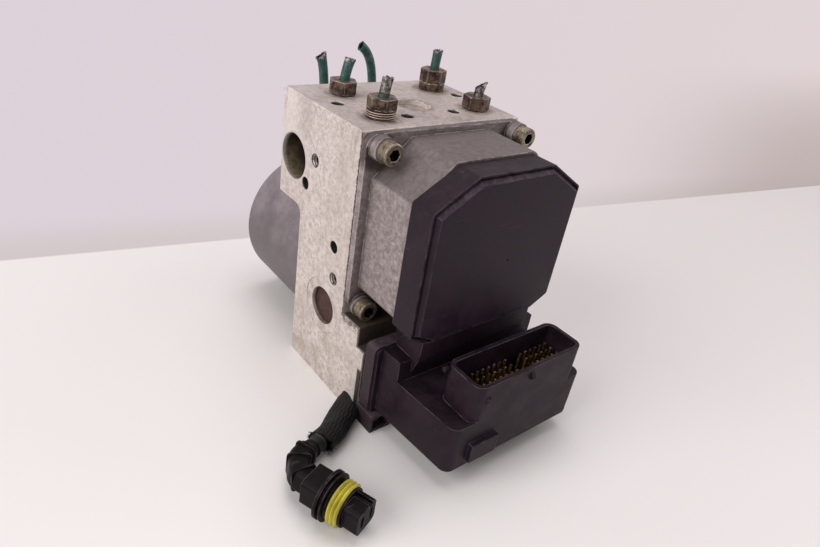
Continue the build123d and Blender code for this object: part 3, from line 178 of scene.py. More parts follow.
def face_outwards(mesh):
    """Merges doubles and turns every face of a closed shell outwards."""
    edit = bmesh.new()
    edit.from_mesh(mesh)
    bmesh.ops.remove_doubles(edit, verts=edit.verts, dist=same_place)
    bmesh.ops.recalc_face_normals(edit, faces=edit.faces)
    edit.to_mesh(mesh)
    edit.free()


def join_meshes(name, meshes):
    """One mesh out of several, each keeping its own faces."""
    edit = bmesh.new()
    for mesh in meshes:
        edit.from_mesh(mesh)
        bpy.data.meshes.remove(mesh)
    joined = bpy.data.meshes.new(name)
    edit.to_mesh(joined)
    edit.free()
    joined.shade_smooth()
    joined.set_sharp_from_angle(angle=smooth_up_to)
    return joined


# %% [markdown]
# ## Helpers for finishes
# Old aluminium, plastic and steel are never one colour. Each finish below is a base colour that
# is broken by stains, specks, scratches and worn edges, at the size that they have on the real
# thing. Patterns read Object coordinates in metres, so a scale of 500 means features about 2 mm
# wide.


# %% Node helpers
class Finish:
    """A material whose nodes are added one at a time."""

    def __init__(self, name, metallic, roughness):
        self.material = bpy.data.materials.new(name)
        self.material.use_nodes = True
        self.tree = self.material.node_tree
        self.shader = self.tree.nodes["Principled BSDF"]
        self.shader.inputs["Metallic"].default_value = metallic
        self.shader.inputs["Roughness"].default_value = roughness
        self.place = self.add("ShaderNodeTexCoord").outputs["Object"]

    def add(self, kind, **settings):
        node = self.tree.nodes.new(kind)
        for key, value in settings.items():
            setattr(node, key, value)
        return node

    def put(self, socket, value):
        """Links a socket, or sets a plain number or colour on it."""
        if isinstance(value, bpy.types.NodeSocket):
            self.tree.links.new(value, socket)
        elif hasattr(value, "__len__") and len(value) == 3 and socket.type == "RGBA":
            socket.default_value = (*value, 1.0)
        else:
            socket.default_value = value

    def stretched(self, scale, turn=(0, 0, 0)):
        """Object coordinates stretched along the axes, for streaks and brushing."""
        mapping = self.add("ShaderNodeMapping")
        self.put(mapping.inputs["Vector"], self.place)
        mapping.inputs["Scale"].default_value = scale
        mapping.inputs["Rotation"].default_value = turn
        return mapping.outputs["Vector"]

    def noise(self, scale, detail=4.0, rough=0.55, place=None, distortion=0.0):
        """Cloudy noise between 0 and 1, finer with a larger scale."""
        node = self.add("ShaderNodeTexNoise")
        self.put(node.inputs["Vector"], place or self.place)
        node.inputs["Scale"].default_value = scale
        node.inputs["Detail"].default_value = detail
        node.inputs["Roughness"].default_value = rough
        node.inputs["Distortion"].default_value = distortion
        return node.outputs["Fac"]

    def cells(self, scale, feature="F1"):
        """Distance to the nearest of many scattered points, for specks and pits."""
        node = self.add("ShaderNodeTexVoronoi", feature=feature)
        self.put(node.inputs["Vector"], self.place)
        node.inputs["Scale"].default_value = scale
        return node.outputs["Distance"]

    def step(self, value, low, high, out_low=0.0, out_high=1.0):
        """Smooth step of a value from low to high."""
        node = self.add("ShaderNodeMapRange", interpolation_type="SMOOTHSTEP")
        self.put(node.inputs["Value"], value)
        ends = {"From Min": low, "From Max": high, "To Min": out_low, "To Max": out_high}
        for key, number in ends.items():
            node.inputs[key].default_value = number
        return node.outputs["Result"]

    def math(self, operation, first, second=0.0, clamped=True):
        node = self.add("ShaderNodeMath", operation=operation, use_clamp=clamped)
        self.put(node.inputs[0], first)
        self.put(node.inputs[1], second)
        return node.outputs["Value"]

    def mix(self, factor, first, second):
        """The first colour where the factor is 0 and the second where it is 1."""
        node = self.add("ShaderNodeMix", data_type="RGBA")
        self.put(node.inputs["Factor"], factor)
        self.put(node.inputs[6], first)
        self.put(node.inputs[7], second)
        return node.outputs[2]

    def stain(self, base, mask, share, colour):
        """Lays a colour over a base where a mask is 1, covering only this share of it."""
        return self.mix(self.math("MULTIPLY", mask, share), base, colour)

    def from_line(self, axis, centre):
        """Distance from a line along X, Y or Z that goes through a point."""
        offset = self.add("ShaderNodeVectorMath", operation="SUBTRACT")
        self.put(offset.inputs[0], self.place)
        offset.inputs[1].default_value = centre
        flat = self.add("ShaderNodeVectorMath", operation="MULTIPLY")
        self.put(flat.inputs[0], offset.outputs[0])
        flat.inputs[1].default_value = [0.0 if name == axis else 1.0 for name in "XYZ"]
        length = self.add("ShaderNodeVectorMath", operation="LENGTH")
        self.put(length.inputs[0], flat.outputs[0])
        return length.outputs["Value"]

    def either(self, *masks):
        """The strongest of several masks at each place."""
        strongest = masks[0]
        for mask in masks[1:]:
            strongest = self.math("MAXIMUM", strongest, mask)
        return strongest

    def both(self, *masks):
        """Masks multiplied, so that all of them have to hold."""
        product = masks[0]
        for mask in masks[1:]:
            product = self.math("MULTIPLY", product, mask)
        return product

    def facing_up(self, low=0.6, high=0.95):
        """1 on faces that look up."""
        normal = self.add("ShaderNodeSeparateXYZ")
        self.put(normal.inputs[0], self.add("ShaderNodeNewGeometry").outputs["Normal"])
        return self.step(normal.outputs["Z"], low, high)

    def coordinate(self, axis):
        """One of the object's own X, Y or Z coordinates, in metres."""
        split = self.add("ShaderNodeSeparateXYZ")
        self.put(split.inputs[0], self.place)
        return split.outputs[axis]

    def ramp(self, axis, low, high, out_low=0.0, out_high=1.0):
        """Smooth step along X, Y or Z between two places, in metres."""
        return self.step(self.coordinate(axis), low, high, out_low, out_high)

    def edges(self, radius, low=0.02, high=0.25):
        """1 along edges and corners, found by how far a rounded normal leans off the flat one."""
        bevel = self.add("ShaderNodeBevel", samples=4)
        bevel.inputs["Radius"].default_value = radius
        flat = self.add("ShaderNodeNewGeometry").outputs["True Normal"]
        dot = self.add("ShaderNodeVectorMath", operation="DOT_PRODUCT")
        self.put(dot.inputs[0], bevel.outputs["Normal"])
        self.put(dot.inputs[1], flat)
        return self.step(self.math("SUBTRACT", 1.0, dot.outputs["Value"]), low, high)

    def crevices(self, reach, low=0.35, high=0.85):
        """1 deep in corners, where little of the surroundings can be seen."""
        open_sky = self.add("ShaderNodeAmbientOcclusion", samples=4)
        open_sky.inputs["Distance"].default_value = reach
        return self.step(open_sky.outputs["AO"], high, low)

    def attribute(self, name):
        """A value that the mesh carries for each of its points."""
        return self.add("ShaderNodeAttribute", attribute_name=name).outputs["Fac"]

    def colour(self, value):
        self.put(self.shader.inputs["Base Color"], value)

    def roughness(self, value):
        self.put(self.shader.inputs["Roughness"], value)

    def metallic(self, value):
        self.put(self.shader.inputs["Metallic"], value)

    def relief(self, *layers, edge=0.0):
        """Bump layers, each a height and a depth in metres, over softly rounded edges."""
        normal = None
        if edge:
            bevel = self.add("ShaderNodeBevel", samples=4)
            bevel.inputs["Radius"].default_value = edge
            normal = bevel.outputs["Normal"]
        for height, depth in layers:
            bump = self.add("ShaderNodeBump")
            bump.inputs["Distance"].default_value = depth
            self.put(bump.inputs["Height"], height)
            if normal:
                self.put(bump.inputs["Normal"], normal)
            normal = bump.outputs["Normal"]
        self.put(self.shader.inputs["Normal"], normal)


# %% [markdown]
# ## Where the block is drilled
# The drillings are oily inside and painted dark with shade, and stained round their mouths, so the
# finish of the block has to know where they are. A mask reads the distance from a drilling's axis
# and the depth below its face.

# %% Drillings, in millimetres
left_face = -47.0
side_port = (38.0, 110.8, 11.4)
tapped_holes = [(18.2, 115.9, 3.4), (-6.0, 64.5, 3.4)]
plain_holes = [(25.6, 101.5, 3.2), (-3.9, 81.1, 3.2)]
pump_mouth = (1.5, 44.5, 10.0)
top_holes = [(-36.5, 19.6, 3.2), (-13.2, -3.0, 3.2), (16.3, -1.8, 3.2), (38.6, 21.2, 3.2)]
line_ports = [(-27.6, -1.8, 7.0), (31.9, -0.4, 6.0), (-25.2, 33.4, 6.0), (30.8, 33.4, 7.0)]
top_recess = (1.8, 11.2, 8.4)
screw_places = [(-40.5, 136.4), (40.5, 136.4), (-40.5, 57.3), (40.5, 57.3)]
print("drillings:", 2 + len(tapped_holes) + len(plain_holes) + len(top_holes) + len(line_ports))


def left_distance(f, hole):
    """Distance from the wall of a hole in the left side, less than 0 inside it."""
    y, z, radius = hole
    return f.math("SUBTRACT", f.from_line("X", (0, y * mm, z * mm)), radius * mm)


def top_distance(f, hole):
    """Distance from the wall of a hole in the top, less than 0 inside it."""
    x, y, radius = hole
    return f.math("SUBTRACT", f.from_line("Z", (x * mm, y * mm, 0)), radius * mm)


# %% [markdown]
# ## Aluminium of the valve block
# The block is sawn and milled from a bar and has spent years under a bonnet. The metal has gone
# dull and pale, with a sandy mottle of oxide a millimetre or two across, fine upright milling
# lines, brown grime that collects at the top and round the fittings, painted shade that darkens the
# top and fills the notch, and dark nicks along the edges.


# %% Milled aluminium
def milled_aluminium():
    f = Finish("milled_aluminium", 0.25, 0.5)
    # Dull metal with a sandy mottle and larger stains, paler at the top towards the back
    mottle = f.noise(360, 6, 0.8)
    cloud = f.noise(38, 4, 0.6)
    base = f.mix(f.step(mottle, 0.36, 0.60), (0.46, 0.40, 0.362), (0.70, 0.632, 0.597))
    patch = f.noise(85, 7, 0.74)
    base = f.mix(f.step(patch, 0.50, 0.66, 0.0, 0.5), base, (0.40, 0.335, 0.285))
    base = f.mix(f.step(cloud, 0.42, 0.66, 0.0, 0.42), base, (0.47, 0.42, 0.365))
    paler_high_back = f.both(f.ramp("Y", 0.022, 0.044), f.ramp("Z", 0.095, 0.118))
    base = f.stain(base, paler_high_back, 0.45, (0.84, 0.77, 0.74))
    # Upright milling lines, painted shade that darkens the faces that look up, and grime that runs
    # down from the top
    grain = f.noise(420, 3, 0.6, f.stretched((3.0, 3.0, 0.22)))
    base = f.mix(f.step(grain, 0.5, 0.78, 0.0, 0.4), base, (0.36, 0.305, 0.27))
    up = f.facing_up()
    base = f.stain(base, up, 0.52, (0.255, 0.215, 0.20))
    streak = f.noise(60, 6, 0.75, f.stretched((1.0, 1.0, 0.4)), 0.8)
    high = f.ramp("Z", 0.105, 0.143)
    rear = f.ramp("Y", 0.010, 0.050)
    grimy = f.both(
        f.either(high, up), f.step(streak, 0.50, 0.64), f.either(rear, f.step(cloud, 0.4, 0.6))
    )
    base = f.stain(base, grimy, 0.55, (0.16, 0.115, 0.085))
    # A yellower foot, dark pits, and edges that are rubbed bright or nicked and dirty
    foot = f.both(f.ramp("Z", 0.055, 0.0), f.step(f.noise(75, 7, 0.75), 0.44, 0.62))
    base = f.stain(base, foot, 0.5, (0.30, 0.25, 0.175))
    speck = f.both(f.step(f.cells(480), 0.16, 0.06), f.step(f.noise(52, 4, 0.7), 0.50, 0.60))
    base = f.stain(base, speck, 0.85, (0.09, 0.06, 0.045))
    worn = f.edges(0.0011)
    nick = f.step(f.noise(330, 4, 0.7), 0.48, 0.58)
    base = f.mix(f.both(worn, f.math("SUBTRACT", 1.0, nick)), base, (0.80, 0.75, 0.71))
    base = f.mix(f.both(worn, nick, f.either(up, high)), base, (0.12, 0.085, 0.065))
    # The dark joint against the coil housing, on the left side only
    left_skin = f.ramp("X", -0.0466, -0.0469)
    joint = f.both(
        f.ramp("Y", -0.0157, -0.0162),
        f.ramp("Z", 0.046, 0.050),
        left_skin,
        f.step(mottle, 0.62, 0.45),
    )
    base = f.stain(base, joint, 0.85, (0.05, 0.038, 0.032))
    # Grime round the fittings and the screws, and painted shade on the toe and in its notch
    rings = [f.step(top_distance(f, port), 0.0055, 0.0005) for port in line_ports]
    rings.append(f.step(top_distance(f, top_recess), 0.003, 0.0))
    fitted = f.both(up, f.either(*rings), f.step(f.noise(240, 5, 0.7), 0.36, 0.56))
    base = f.stain(base, fitted, 0.75, (0.10, 0.065, 0.045))
    toe = f.both(f.ramp("Y", -0.0164, -0.0168), f.ramp("Z", 0.036, 0.040))
    toe = f.both(toe, f.ramp("X", -0.0464, -0.0456))
    base = f.stain(base, toe, 0.93, f.mix(mottle, (0.010, 0.006, 0.004), (0.060, 0.036, 0.020)))
    # Oil and painted shade inside the side port, and a bright rim round its mouth
    inward = f.ramp("X", -0.0468, -0.0440)
    downward = f.ramp("Z", 0.1419, 0.1412)
    deep = f.step(left_distance(f, side_port), 0.0003, 0.0001)
    oil_and_shade = f.mix(f.step(mottle, 0.35, 0.65), (0.13, 0.095, 0.055), (0.30, 0.235, 0.155))
    shade = f.either(f.ramp("X", -0.045, -0.030), f.ramp("Z", 0.105, 0.117, 0.0, 0.92))
    oil_and_shade = f.mix(shade, oil_and_shade, (0.012, 0.009, 0.006))
    base = f.mix(f.both(inward, deep), base, oil_and_shade)
    near_mouth = f.math("ABSOLUTE", f.math("SUBTRACT", left_distance(f, side_port), 0.0003))
    mouth_rim = f.both(f.step(near_mouth, 0.0008, 0.0005), f.ramp("X", -0.0464, -0.0467))
    base = f.stain(base, mouth_rim, 0.8, f.mix(patch, (0.20, 0.15, 0.12), (0.95, 0.90, 0.87)))
    # Painted shade as a black strip at the toe's front and as black inside the drillings, and the
    # rusty seat of the pump's plug
    strip = f.both(
        f.ramp("Y", -0.0336, -0.0344),
        f.ramp("Z", 0.031, 0.029),
        f.ramp("Z", 0.002, 0.004),
        left_skin,
    )
    base = f.mix(strip, base, (0.012, 0.011, 0.008))
    just_in = f.ramp("X", -0.0469, -0.0462)
    wall = (0.0003, 0.0001)
    left_holes = plain_holes + tapped_holes
    black = [f.both(just_in, f.step(left_distance(f, hole), *wall)) for hole in left_holes]
    black += [f.both(downward, f.step(top_distance(f, hole), *wall)) for hole in top_holes]
    base = f.stain(base, f.either(*black), 0.94, (0.014, 0.010, 0.008))
    rusty = f.both(f.step(left_distance(f, pump_mouth), 0.0014, 0.0), f.ramp("X", -0.0471, -0.0465))
    base = f.mix(rusty, base, (0.13, 0.085, 0.045))
    f.colour(base)
    f.roughness(f.step(mottle, 0.3, 0.7, 0.62, 0.46))
    skin = f.noise(1500, 3, 0.6)
    f.relief((grain, 0.00003), (mottle, 0.00007), (skin, 0.00003), (speck, -0.0001), edge=0.0006)
    return f.material


# %% [markdown]
# ## Cast aluminium of the coil housing
# Die castings keep the rough skin of the mould. This one is greyer and browner than the block, and
# painted shade makes it darkest where it looks up, with scratches along its length, painted shadows
# below the screws, and painted shade and grime in its crevices.


# %% Cast aluminium
def cast_aluminium():
    f = Finish("cast_aluminium", 0.3, 0.55)
    # Grey skin with darker patches, scratches along the housing, pale scuffs, and painted shade on
    # the top
    patch = f.noise(330, 6, 0.76, None, 0.3)
    base = f.mix(f.step(patch, 0.36, 0.64), (0.195, 0.160, 0.157), (0.355, 0.308, 0.303))
    streak = f.noise(130, 5, 0.65, f.stretched((1.6, 0.16, 1.6)))
    base = f.mix(f.step(streak, 0.52, 0.74, 0.0, 0.55), base, (0.19, 0.155, 0.15))
    pale = f.noise(430, 5, 0.75, f.stretched((1.0, 0.4, 1.0)))
    base = f.mix(f.step(pale, 0.60, 0.68, 0.0, 0.75), base, (0.60, 0.55, 0.54))
    up = f.facing_up(0.3, 0.9)
    base = f.stain(base, up, 0.8, (0.085, 0.066, 0.066))
    # Pits, a dirty lower part, painted shadows below the screws, painted shade with grime in the
    # crevices, and rubbed edges
    pits = f.both(f.step(f.cells(520), 0.20, 0.06), f.step(f.noise(70, 4, 0.7), 0.46, 0.6))
    base = f.stain(base, pits, 0.7, (0.09, 0.06, 0.045))
    low = f.both(f.ramp("Z", 0.080, 0.056), f.step(f.noise(60, 5, 0.7), 0.40, 0.58))
    base = f.stain(base, low, 0.6, (0.10, 0.07, 0.05))
    # A painted shadow falls below each screw head, so its ring sits this many millimetres lower
    shadow_drop = 2.5
    rings = [f.from_line("Y", (x * mm, 0, (z - shadow_drop) * mm)) for x, z in screw_places]
    screws = [f.step(ring, 0.0110, 0.0066) for ring in rings]
    seat_shadow = f.both(f.either(*screws), f.ramp("Y", -0.0222, -0.0208))
    base = f.stain(base, seat_shadow, 0.85, (0.045, 0.033, 0.028))
    # Painted shade, with grime, darkens the crevices
    base = f.stain(base, f.crevices(0.006), 0.7, (0.055, 0.040, 0.034))
    worn = f.edges(0.0009)
    base = f.mix(f.both(worn, f.step(f.noise(200, 4), 0.4, 0.55)), base, (0.60, 0.55, 0.53))
    f.colour(base)
    f.roughness(f.step(patch, 0.3, 0.7, 0.62, 0.46))
    sand, swell = f.noise(700, 5, 0.65), f.noise(190, 4)
    f.relief((sand, 0.00016), (swell, 0.00018), (streak, 0.00006), edge=0.0006)
    return f.material


# %% [markdown]
# ## Black plastic
# Glass-filled nylon comes out of the mould with a fine grain. Here it is a purplish black, lighter
# along its edges with wear and a painted highlight, with a few specks of dirt and hairline
# scratches. Faces that look up take a top colour: dust on the plate and the phenolic, painted shade
# on the control housing and painted light on the cover.


# %% Moulded plastic
def moulded_plastic(
    name, base_colour, dust_and_painted_light=0.1, roughness=0.5, top_colour=(0.16, 0.12, 0.155), shine=0.16
):
    """Grained plastic. The third argument is the share of top_colour on what looks up, as dust,
    painted shade or painted light.
    """
    f = Finish(name, 0.0, roughness)
    blotch = f.noise(75, 6, 0.65)
    lighter = tuple(min(1.0, c * 1.5 + 0.003) for c in base_colour)
    base = f.mix(f.step(blotch, 0.38, 0.66), base_colour, lighter)
    grains = f.noise(800, 4, 0.7)
    grainy = tuple(c * 2.2 + 0.004 for c in base_colour)
    base = f.mix(f.step(grains, 0.52, 0.78, 0.0, 0.4), base, grainy)
    # Faces that look up take top_colour: dust on some parts, painted shade or painted light on
    # others
    painted_light_and_dust_mask = f.both(f.facing_up(0.2, 1.0), f.step(f.noise(210, 6, 0.75), 0.35, 0.7))
    base = f.stain(base, painted_light_and_dust_mask, dust_and_painted_light, top_colour)
    mote = f.both(f.step(f.cells(620), 0.085, 0.03), f.step(f.noise(45, 2), 0.52, 0.6))
    base = f.stain(base, mote, 0.4, (0.28, 0.25, 0.24))
    scratch = f.noise(260, 2, 0.5, f.stretched((0.12, 1.0, 4.0), (0.5, 0.9, 0.4)))
    base = f.mix(f.step(scratch, 0.70, 0.735, 0.0, 0.12), base, (0.20, 0.17, 0.19))
    # Edges are lighter with wear and a painted highlight
    worn = f.edges(0.0007)
    wear_and_highlight = f.both(f.math("MULTIPLY", worn, 0.6), f.step(f.noise(140, 4), 0.38, 0.56))
    base = f.mix(wear_and_highlight, base, (0.24, 0.205, 0.225))
    f.colour(base)
    f.roughness(f.step(blotch, 0.3, 0.7, roughness - 0.06, roughness + 0.12))
    f.shader.inputs["Specular IOR Level"].default_value = shine
    f.relief((grains, 0.00003), (f.noise(90, 3), 0.00008), edge=0.0006)
    return f.material


# %% [markdown]
# ## Plain and corroded metals
# One recipe serves bright and spring steel, brass pins, copper, a rusted plug and a few more: a
# base, a second colour that comes through in blotches, and a fine grain.


# %% Metals
def metal(
    name,
    base_colour,
    blotch_colour,
    metallic=0.8,
    roughness=0.4,
    size=150,
    share=0.5,
    depth=0.00005,
):
    """A base colour with blotches of a second one over this share, in a bump of this depth."""
    f = Finish(name, metallic, roughness)
    blotch = f.step(f.noise(size, 6, 0.65, None, 0.5), share - 0.1, share + 0.12)
    fine = f.noise(size * 6, 4, 0.6)
    base = f.mix(blotch, base_colour, blotch_colour)
    base = f.mix(f.step(fine, 0.5, 0.8, 0.0, 0.35), base, tuple(c * 0.45 for c in base_colour))
    f.colour(base)
    f.roughness(f.math("ADD", f.math("MULTIPLY", blotch, 0.2), roughness))
    f.relief((fine, depth), (blotch, depth), edge=0.0003)
    return f.material


def staked_aluminium():
    """Soft aluminium plugs pressed into the block: pale at the side, and darker on top with painted
    shade.
    """
    f = Finish("staked_aluminium", 0.4, 0.45)
    blotch = f.step(f.noise(220, 6, 0.7), 0.40, 0.62)
    base = f.mix(blotch, (0.68, 0.61, 0.58), (0.47, 0.40, 0.36))
    # Painted shade darkens the tops, as on the block
    base = f.stain(
        base, f.facing_up(), 0.8, f.mix(blotch, (0.27, 0.23, 0.21), (0.16, 0.125, 0.105))
    )
    worn = f.edges(0.0005)
    base = f.stain(base, worn, 0.7, (0.85, 0.80, 0.77))
    f.colour(base)
    f.relief((f.noise(800, 4), 0.00005), (blotch, 0.00008), edge=0.0004)
    return f.material


def painted_can():
    """Grey paint that has gone cloudy, with faint upright streaks and a few pale spots."""
    f = Finish("painted_can", 0.2, 0.45)
    cloud = f.noise(60, 6, 0.65)
    base = f.mix(f.step(cloud, 0.35, 0.67), (0.145, 0.122, 0.132), (0.245, 0.21, 0.222))
    streak = f.noise(120, 4, 0.6, f.stretched((1.0, 1.6, 0.3)))
    base = f.mix(f.step(streak, 0.5, 0.75, 0.0, 0.4), base, (0.105, 0.088, 0.10))
    spot = f.both(f.step(f.cells(260), 0.09, 0.04), f.step(f.noise(80, 3), 0.52, 0.6))
    base = f.stain(base, spot, 0.6, (0.42, 0.40, 0.38))
    # Painted shade with dirt darkens the can towards the bottom, and a painted light brightens its
    # top
    base = f.mix(f.ramp("Z", 0.072, 0.030, 0.0, 0.6), base, (0.085, 0.070, 0.070))
    base = f.mix(f.ramp("Z", 0.068, 0.084, 0.0, 0.35), base, (0.33, 0.29, 0.31))
    worn = f.edges(0.001)
    base = f.stain(base, worn, 0.35, (0.36, 0.33, 0.34))
    f.colour(base)
    f.roughness(f.step(cloud, 0.3, 0.7, 0.40, 0.58))
    f.relief((f.noise(500, 4), 0.00005), (cloud, 0.00015), edge=0.0006)
    return f.material


def rubber(name, base_colour, roughness=0.65, depth=0.00008):
    """Dull rubber, foam or paper, cloudy and dirty in its own colour."""
    f = Finish(name, 0.0, roughness)
    f.shader.inputs["Specular IOR Level"].default_value = 0.25
    cloud = f.noise(140, 5, 0.6)
    base = f.mix(
        f.step(cloud, 0.35, 0.7), base_colour, tuple(min(1, c * 1.6 + 0.002) for c in base_colour)
    )
    dirt = f.step(f.noise(260, 5, 0.7), 0.55, 0.75, 0.0, 0.5)
    f.colour(f.mix(dirt, base, tuple(c * 0.4 for c in base_colour)))
    f.relief((f.noise(900, 3), depth))
    return f.material


def wound_wire():
    """Enamelled copper wire round a coil: fine turns along Y."""
    f = Finish("wound_wire", 0.3, 0.35)
    turns = f.add("ShaderNodeTexWave", bands_direction="Y")
    f.put(turns.inputs["Vector"], f.place)
    turns.inputs["Scale"].default_value = 420
    f.colour(f.mix(turns.outputs["Fac"], (0.10, 0.05, 0.03), (0.34, 0.17, 0.09)))
    f.relief((turns.outputs["Fac"], 0.0002))
    return f.material


def printed_board():
    """Green lacquer over faint copper tracks."""
    f = Finish("printed_board", 0.0, 0.35)
    track = f.cells(260, "DISTANCE_TO_EDGE")
    f.colour(f.mix(f.step(track, 0.03, 0.08), (0.10, 0.22, 0.10), (0.02, 0.10, 0.05)))
    f.relief((track, 0.00005))
    return f.material


def socket_screws():
    """Zinc plating gone olive: bright on the rim, stained on the sides, painted black with shade
    inside the socket.
    """
    f = Finish("socket_screws", 0.75, 0.36)
    blotch = f.step(f.noise(300, 6, 0.7), 0.42, 0.62)
    base = f.mix(blotch, (0.27, 0.23, 0.165), (0.075, 0.053, 0.034))
    worn = f.edges(0.0006)
    base = f.stain(base, worn, 0.85, (0.78, 0.75, 0.66))
    # Painted shade blacks out the inside of each socket
    middles = [f.from_line("Y", (x * mm, 0, z * mm)) for x, z in screw_places]
    sockets = [f.step(middle, 0.0030, 0.0027) for middle in middles]
    high = f.ramp("Y", -0.0312, -0.0306)
    low = f.both(f.ramp("Z", 0.09, 0.08), f.ramp("Y", -0.0286, -0.0280))
    base = f.mix(f.both(f.either(*sockets), f.either(high, low)), base, (0.006, 0.005, 0.004))
    knurl = f.cells(1300)
    f.colour(base)
    f.roughness(f.step(blotch, 0.0, 1.0, 0.3, 0.55))
    f.relief((knurl, 0.0001), (blotch, 0.00006), edge=0.0004)
    return f.material


def rusting_nuts():
    """Steel nuts: brown rust over olive plating, rubbed bright at the corners."""
    f = Finish("rusting_nuts", 0.6, 0.42)
    rust = f.noise(260, 7, 0.72)
    base = f.mix(f.step(rust, 0.42, 0.58), (0.028, 0.015, 0.011), (0.150, 0.102, 0.072))
    olive = f.step(f.noise(90, 4, 0.6), 0.5, 0.62)
    base = f.stain(base, olive, 0.6, (0.20, 0.175, 0.12))
    worn = f.edges(0.0007)
    base = f.mix(f.both(worn, f.step(f.noise(350, 4), 0.35, 0.55)), base, (0.55, 0.48, 0.40))
    x, y = line_ports[0][:2]
    from_nut = f.from_line("Z", (x * mm, y * mm, 0))
    turns = f.both(f.step(from_nut, 0.0076, 0.0074), f.ramp("Z", 0.1463, 0.1461))
    ridge = f.mix(f.step(from_nut, 0.00655, 0.00685), (0.020, 0.012, 0.009), (0.52, 0.43, 0.33))
    base = f.mix(f.both(turns, f.step(from_nut, 0.0062, 0.0063)), base, ridge)
    f.colour(base)
    f.roughness(f.step(rust, 0.35, 0.65, 0.55, 0.36))
    f.relief((rust, 0.00016), (f.noise(1100, 3), 0.00005), edge=0.0004)
    return f.material


def green_pipe():
    """Green plastic coat on a steel pipe, scuffed, with the steel bare where it was cut."""
    f = Finish("green_pipe", 0.1, 0.38)
    cloud = f.noise(320, 5, 0.65)
    base = f.mix(f.step(cloud, 0.38, 0.64), (0.010, 0.052, 0.040), (0.026, 0.098, 0.076))
    scuff = f.both(
        f.step(f.noise(500, 4, 0.7, f.stretched((1, 1, 0.4))), 0.58, 0.66), f.step(cloud, 0.4, 0.5)
    )
    base = f.stain(base, scuff, 0.6, (0.16, 0.20, 0.17))
    smear = f.noise(480, 6, 0.7)
    steel = f.mix(f.step(smear, 0.42, 0.60), (0.040, 0.034, 0.030), (0.30, 0.285, 0.265))
    bare = f.step(f.attribute("bare"), 0.35, 0.65)
    f.colour(f.mix(bare, base, steel))
    f.metallic(f.math("MULTIPLY", bare, 0.7))
    f.relief((cloud, 0.00006), (smear, 0.0001))
    return f.material


def bright_thread():
    """Freshly cut aluminium of a thread, with oil left in its roots and painted shade deeper in the
    hole.
    """
    f = Finish("bright_thread", 0.5, 0.5)
    oil = f.noise(500, 4, 0.7)
    base = f.mix(f.step(oil, 0.45, 0.6), (0.42, 0.38, 0.34), (0.08, 0.06, 0.045))
    # Painted shade turns the thread almost black deeper in the hole
    f.colour(f.mix(f.ramp("X", -0.0452, -0.0430), base, (0.02, 0.015, 0.011)))
    f.relief((oil, 0.00004))
    return f.material


# %% Materials by slot
finishes = {
    "cast_block": milled_aluminium(),
    "cast_housing": cast_aluminium(),
    # The control housing's faces that look up take painted shade, as under the cap
    "black_plastic": moulded_plastic(
        "control_plastic", (0.0135, 0.0070, 0.0115), 0.9, 0.5, (0.0040, 0.0022, 0.0038)
    ),
    # The cover's faces that look up take the default top colour as a painted light from above
    "cover_plastic": moulded_plastic("cover_plastic", (0.0160, 0.0085, 0.0145), 0.45, 0.44),
    "plate_plastic": moulded_plastic("plate_plastic", (0.0290, 0.0190, 0.0230), 0.3, 0.55),
    "plug_plastic": moulded_plastic(
        "plug_plastic", (0.0040, 0.0022, 0.0030), 0.0, 0.42, shine=0.08
    ),
    "paper_gasket": rubber("gasket_paper", (0.010, 0.009, 0.009)),
    "brown_seal": rubber("foam_seal", (0.016, 0.013, 0.007), 0.8, 0.0002),
    "screw_steel": socket_screws(),
    "steel": metal("bright_steel", (0.52, 0.51, 0.50), (0.40, 0.38, 0.37), 0.95, 0.25, 120),
    "spring_steel": metal("spring_steel", (0.30, 0.30, 0.31), (0.22, 0.21, 0.21), 0.9, 0.35),
    "copper_coil": wound_wire(),
    "board_green": printed_board(),
    "pin_brass": metal(
        "pin_brass", (0.30, 0.17, 0.065), (0.045, 0.026, 0.014), 0.7, 0.45, 480, 0.44
    ),
    "motor_paint": painted_can(),
    "magnet": metal("ferrite", (0.05, 0.05, 0.055), (0.08, 0.08, 0.08), 0.2, 0.6),
    "core_steel": metal("laminated_core", (0.25, 0.18, 0.13), (0.15, 0.10, 0.07), 0.6, 0.45, 400),
    "commutator_copper": metal(
        "commutator_copper", (0.62, 0.30, 0.17), (0.30, 0.14, 0.08), 0.95, 0.3
    ),
    "brown_plastic": moulded_plastic("phenolic", (0.09, 0.045, 0.025)),
    "carbon": metal("brush_carbon", (0.03, 0.03, 0.03), (0.05, 0.05, 0.05), 0.1, 0.5),
    "plug_red": metal(
        "rusted_plug", (0.045, 0.019, 0.016), (0.085, 0.040, 0.030), 0.3, 0.55, 260, 0.5, 0.0002
    ),
    "ring_alu": staked_aluminium(),
    "nut_steel": rusting_nuts(),
    "pipe_green": green_pipe(),
    "black_rubber": rubber("black_rubber", (0.018, 0.017, 0.017)),
    "sleeve_black": rubber("braided_sleeve", (0.0045, 0.0045, 0.0045), 0.5),
    "lead_grey": rubber("taped_lead", (0.012, 0.0125, 0.0115), 0.5),
    "seal_yellow": rubber("yellow_silicone", (0.41, 0.36, 0.045), 0.45),
}


def dress(piece, slot, finish=None):
    """Gives a piece the finish of a material slot of the record, or one of its own."""
    piece.data.materials.clear()
    piece.data.materials.append(finish or finishes[slot])


slot_of = {part["node"]: part["material_slot"] for part in frame["record"]["subparts"]}
for name, node in nodes.items():
    node.data.materials.clear()
    node.data.materials.append(finishes[slot_of[name]])
print("finishes made:", len(finishes))

# %% [markdown]
# ## The motor's lead
# A two-core lead leaves the motor through a grommet, runs forward under the block in a channel
# and comes out at the left. It lies on the table and ends in a plug. A cord is one smooth NURBS
# curve whose control points are the route, with a round bevel for its thickness.

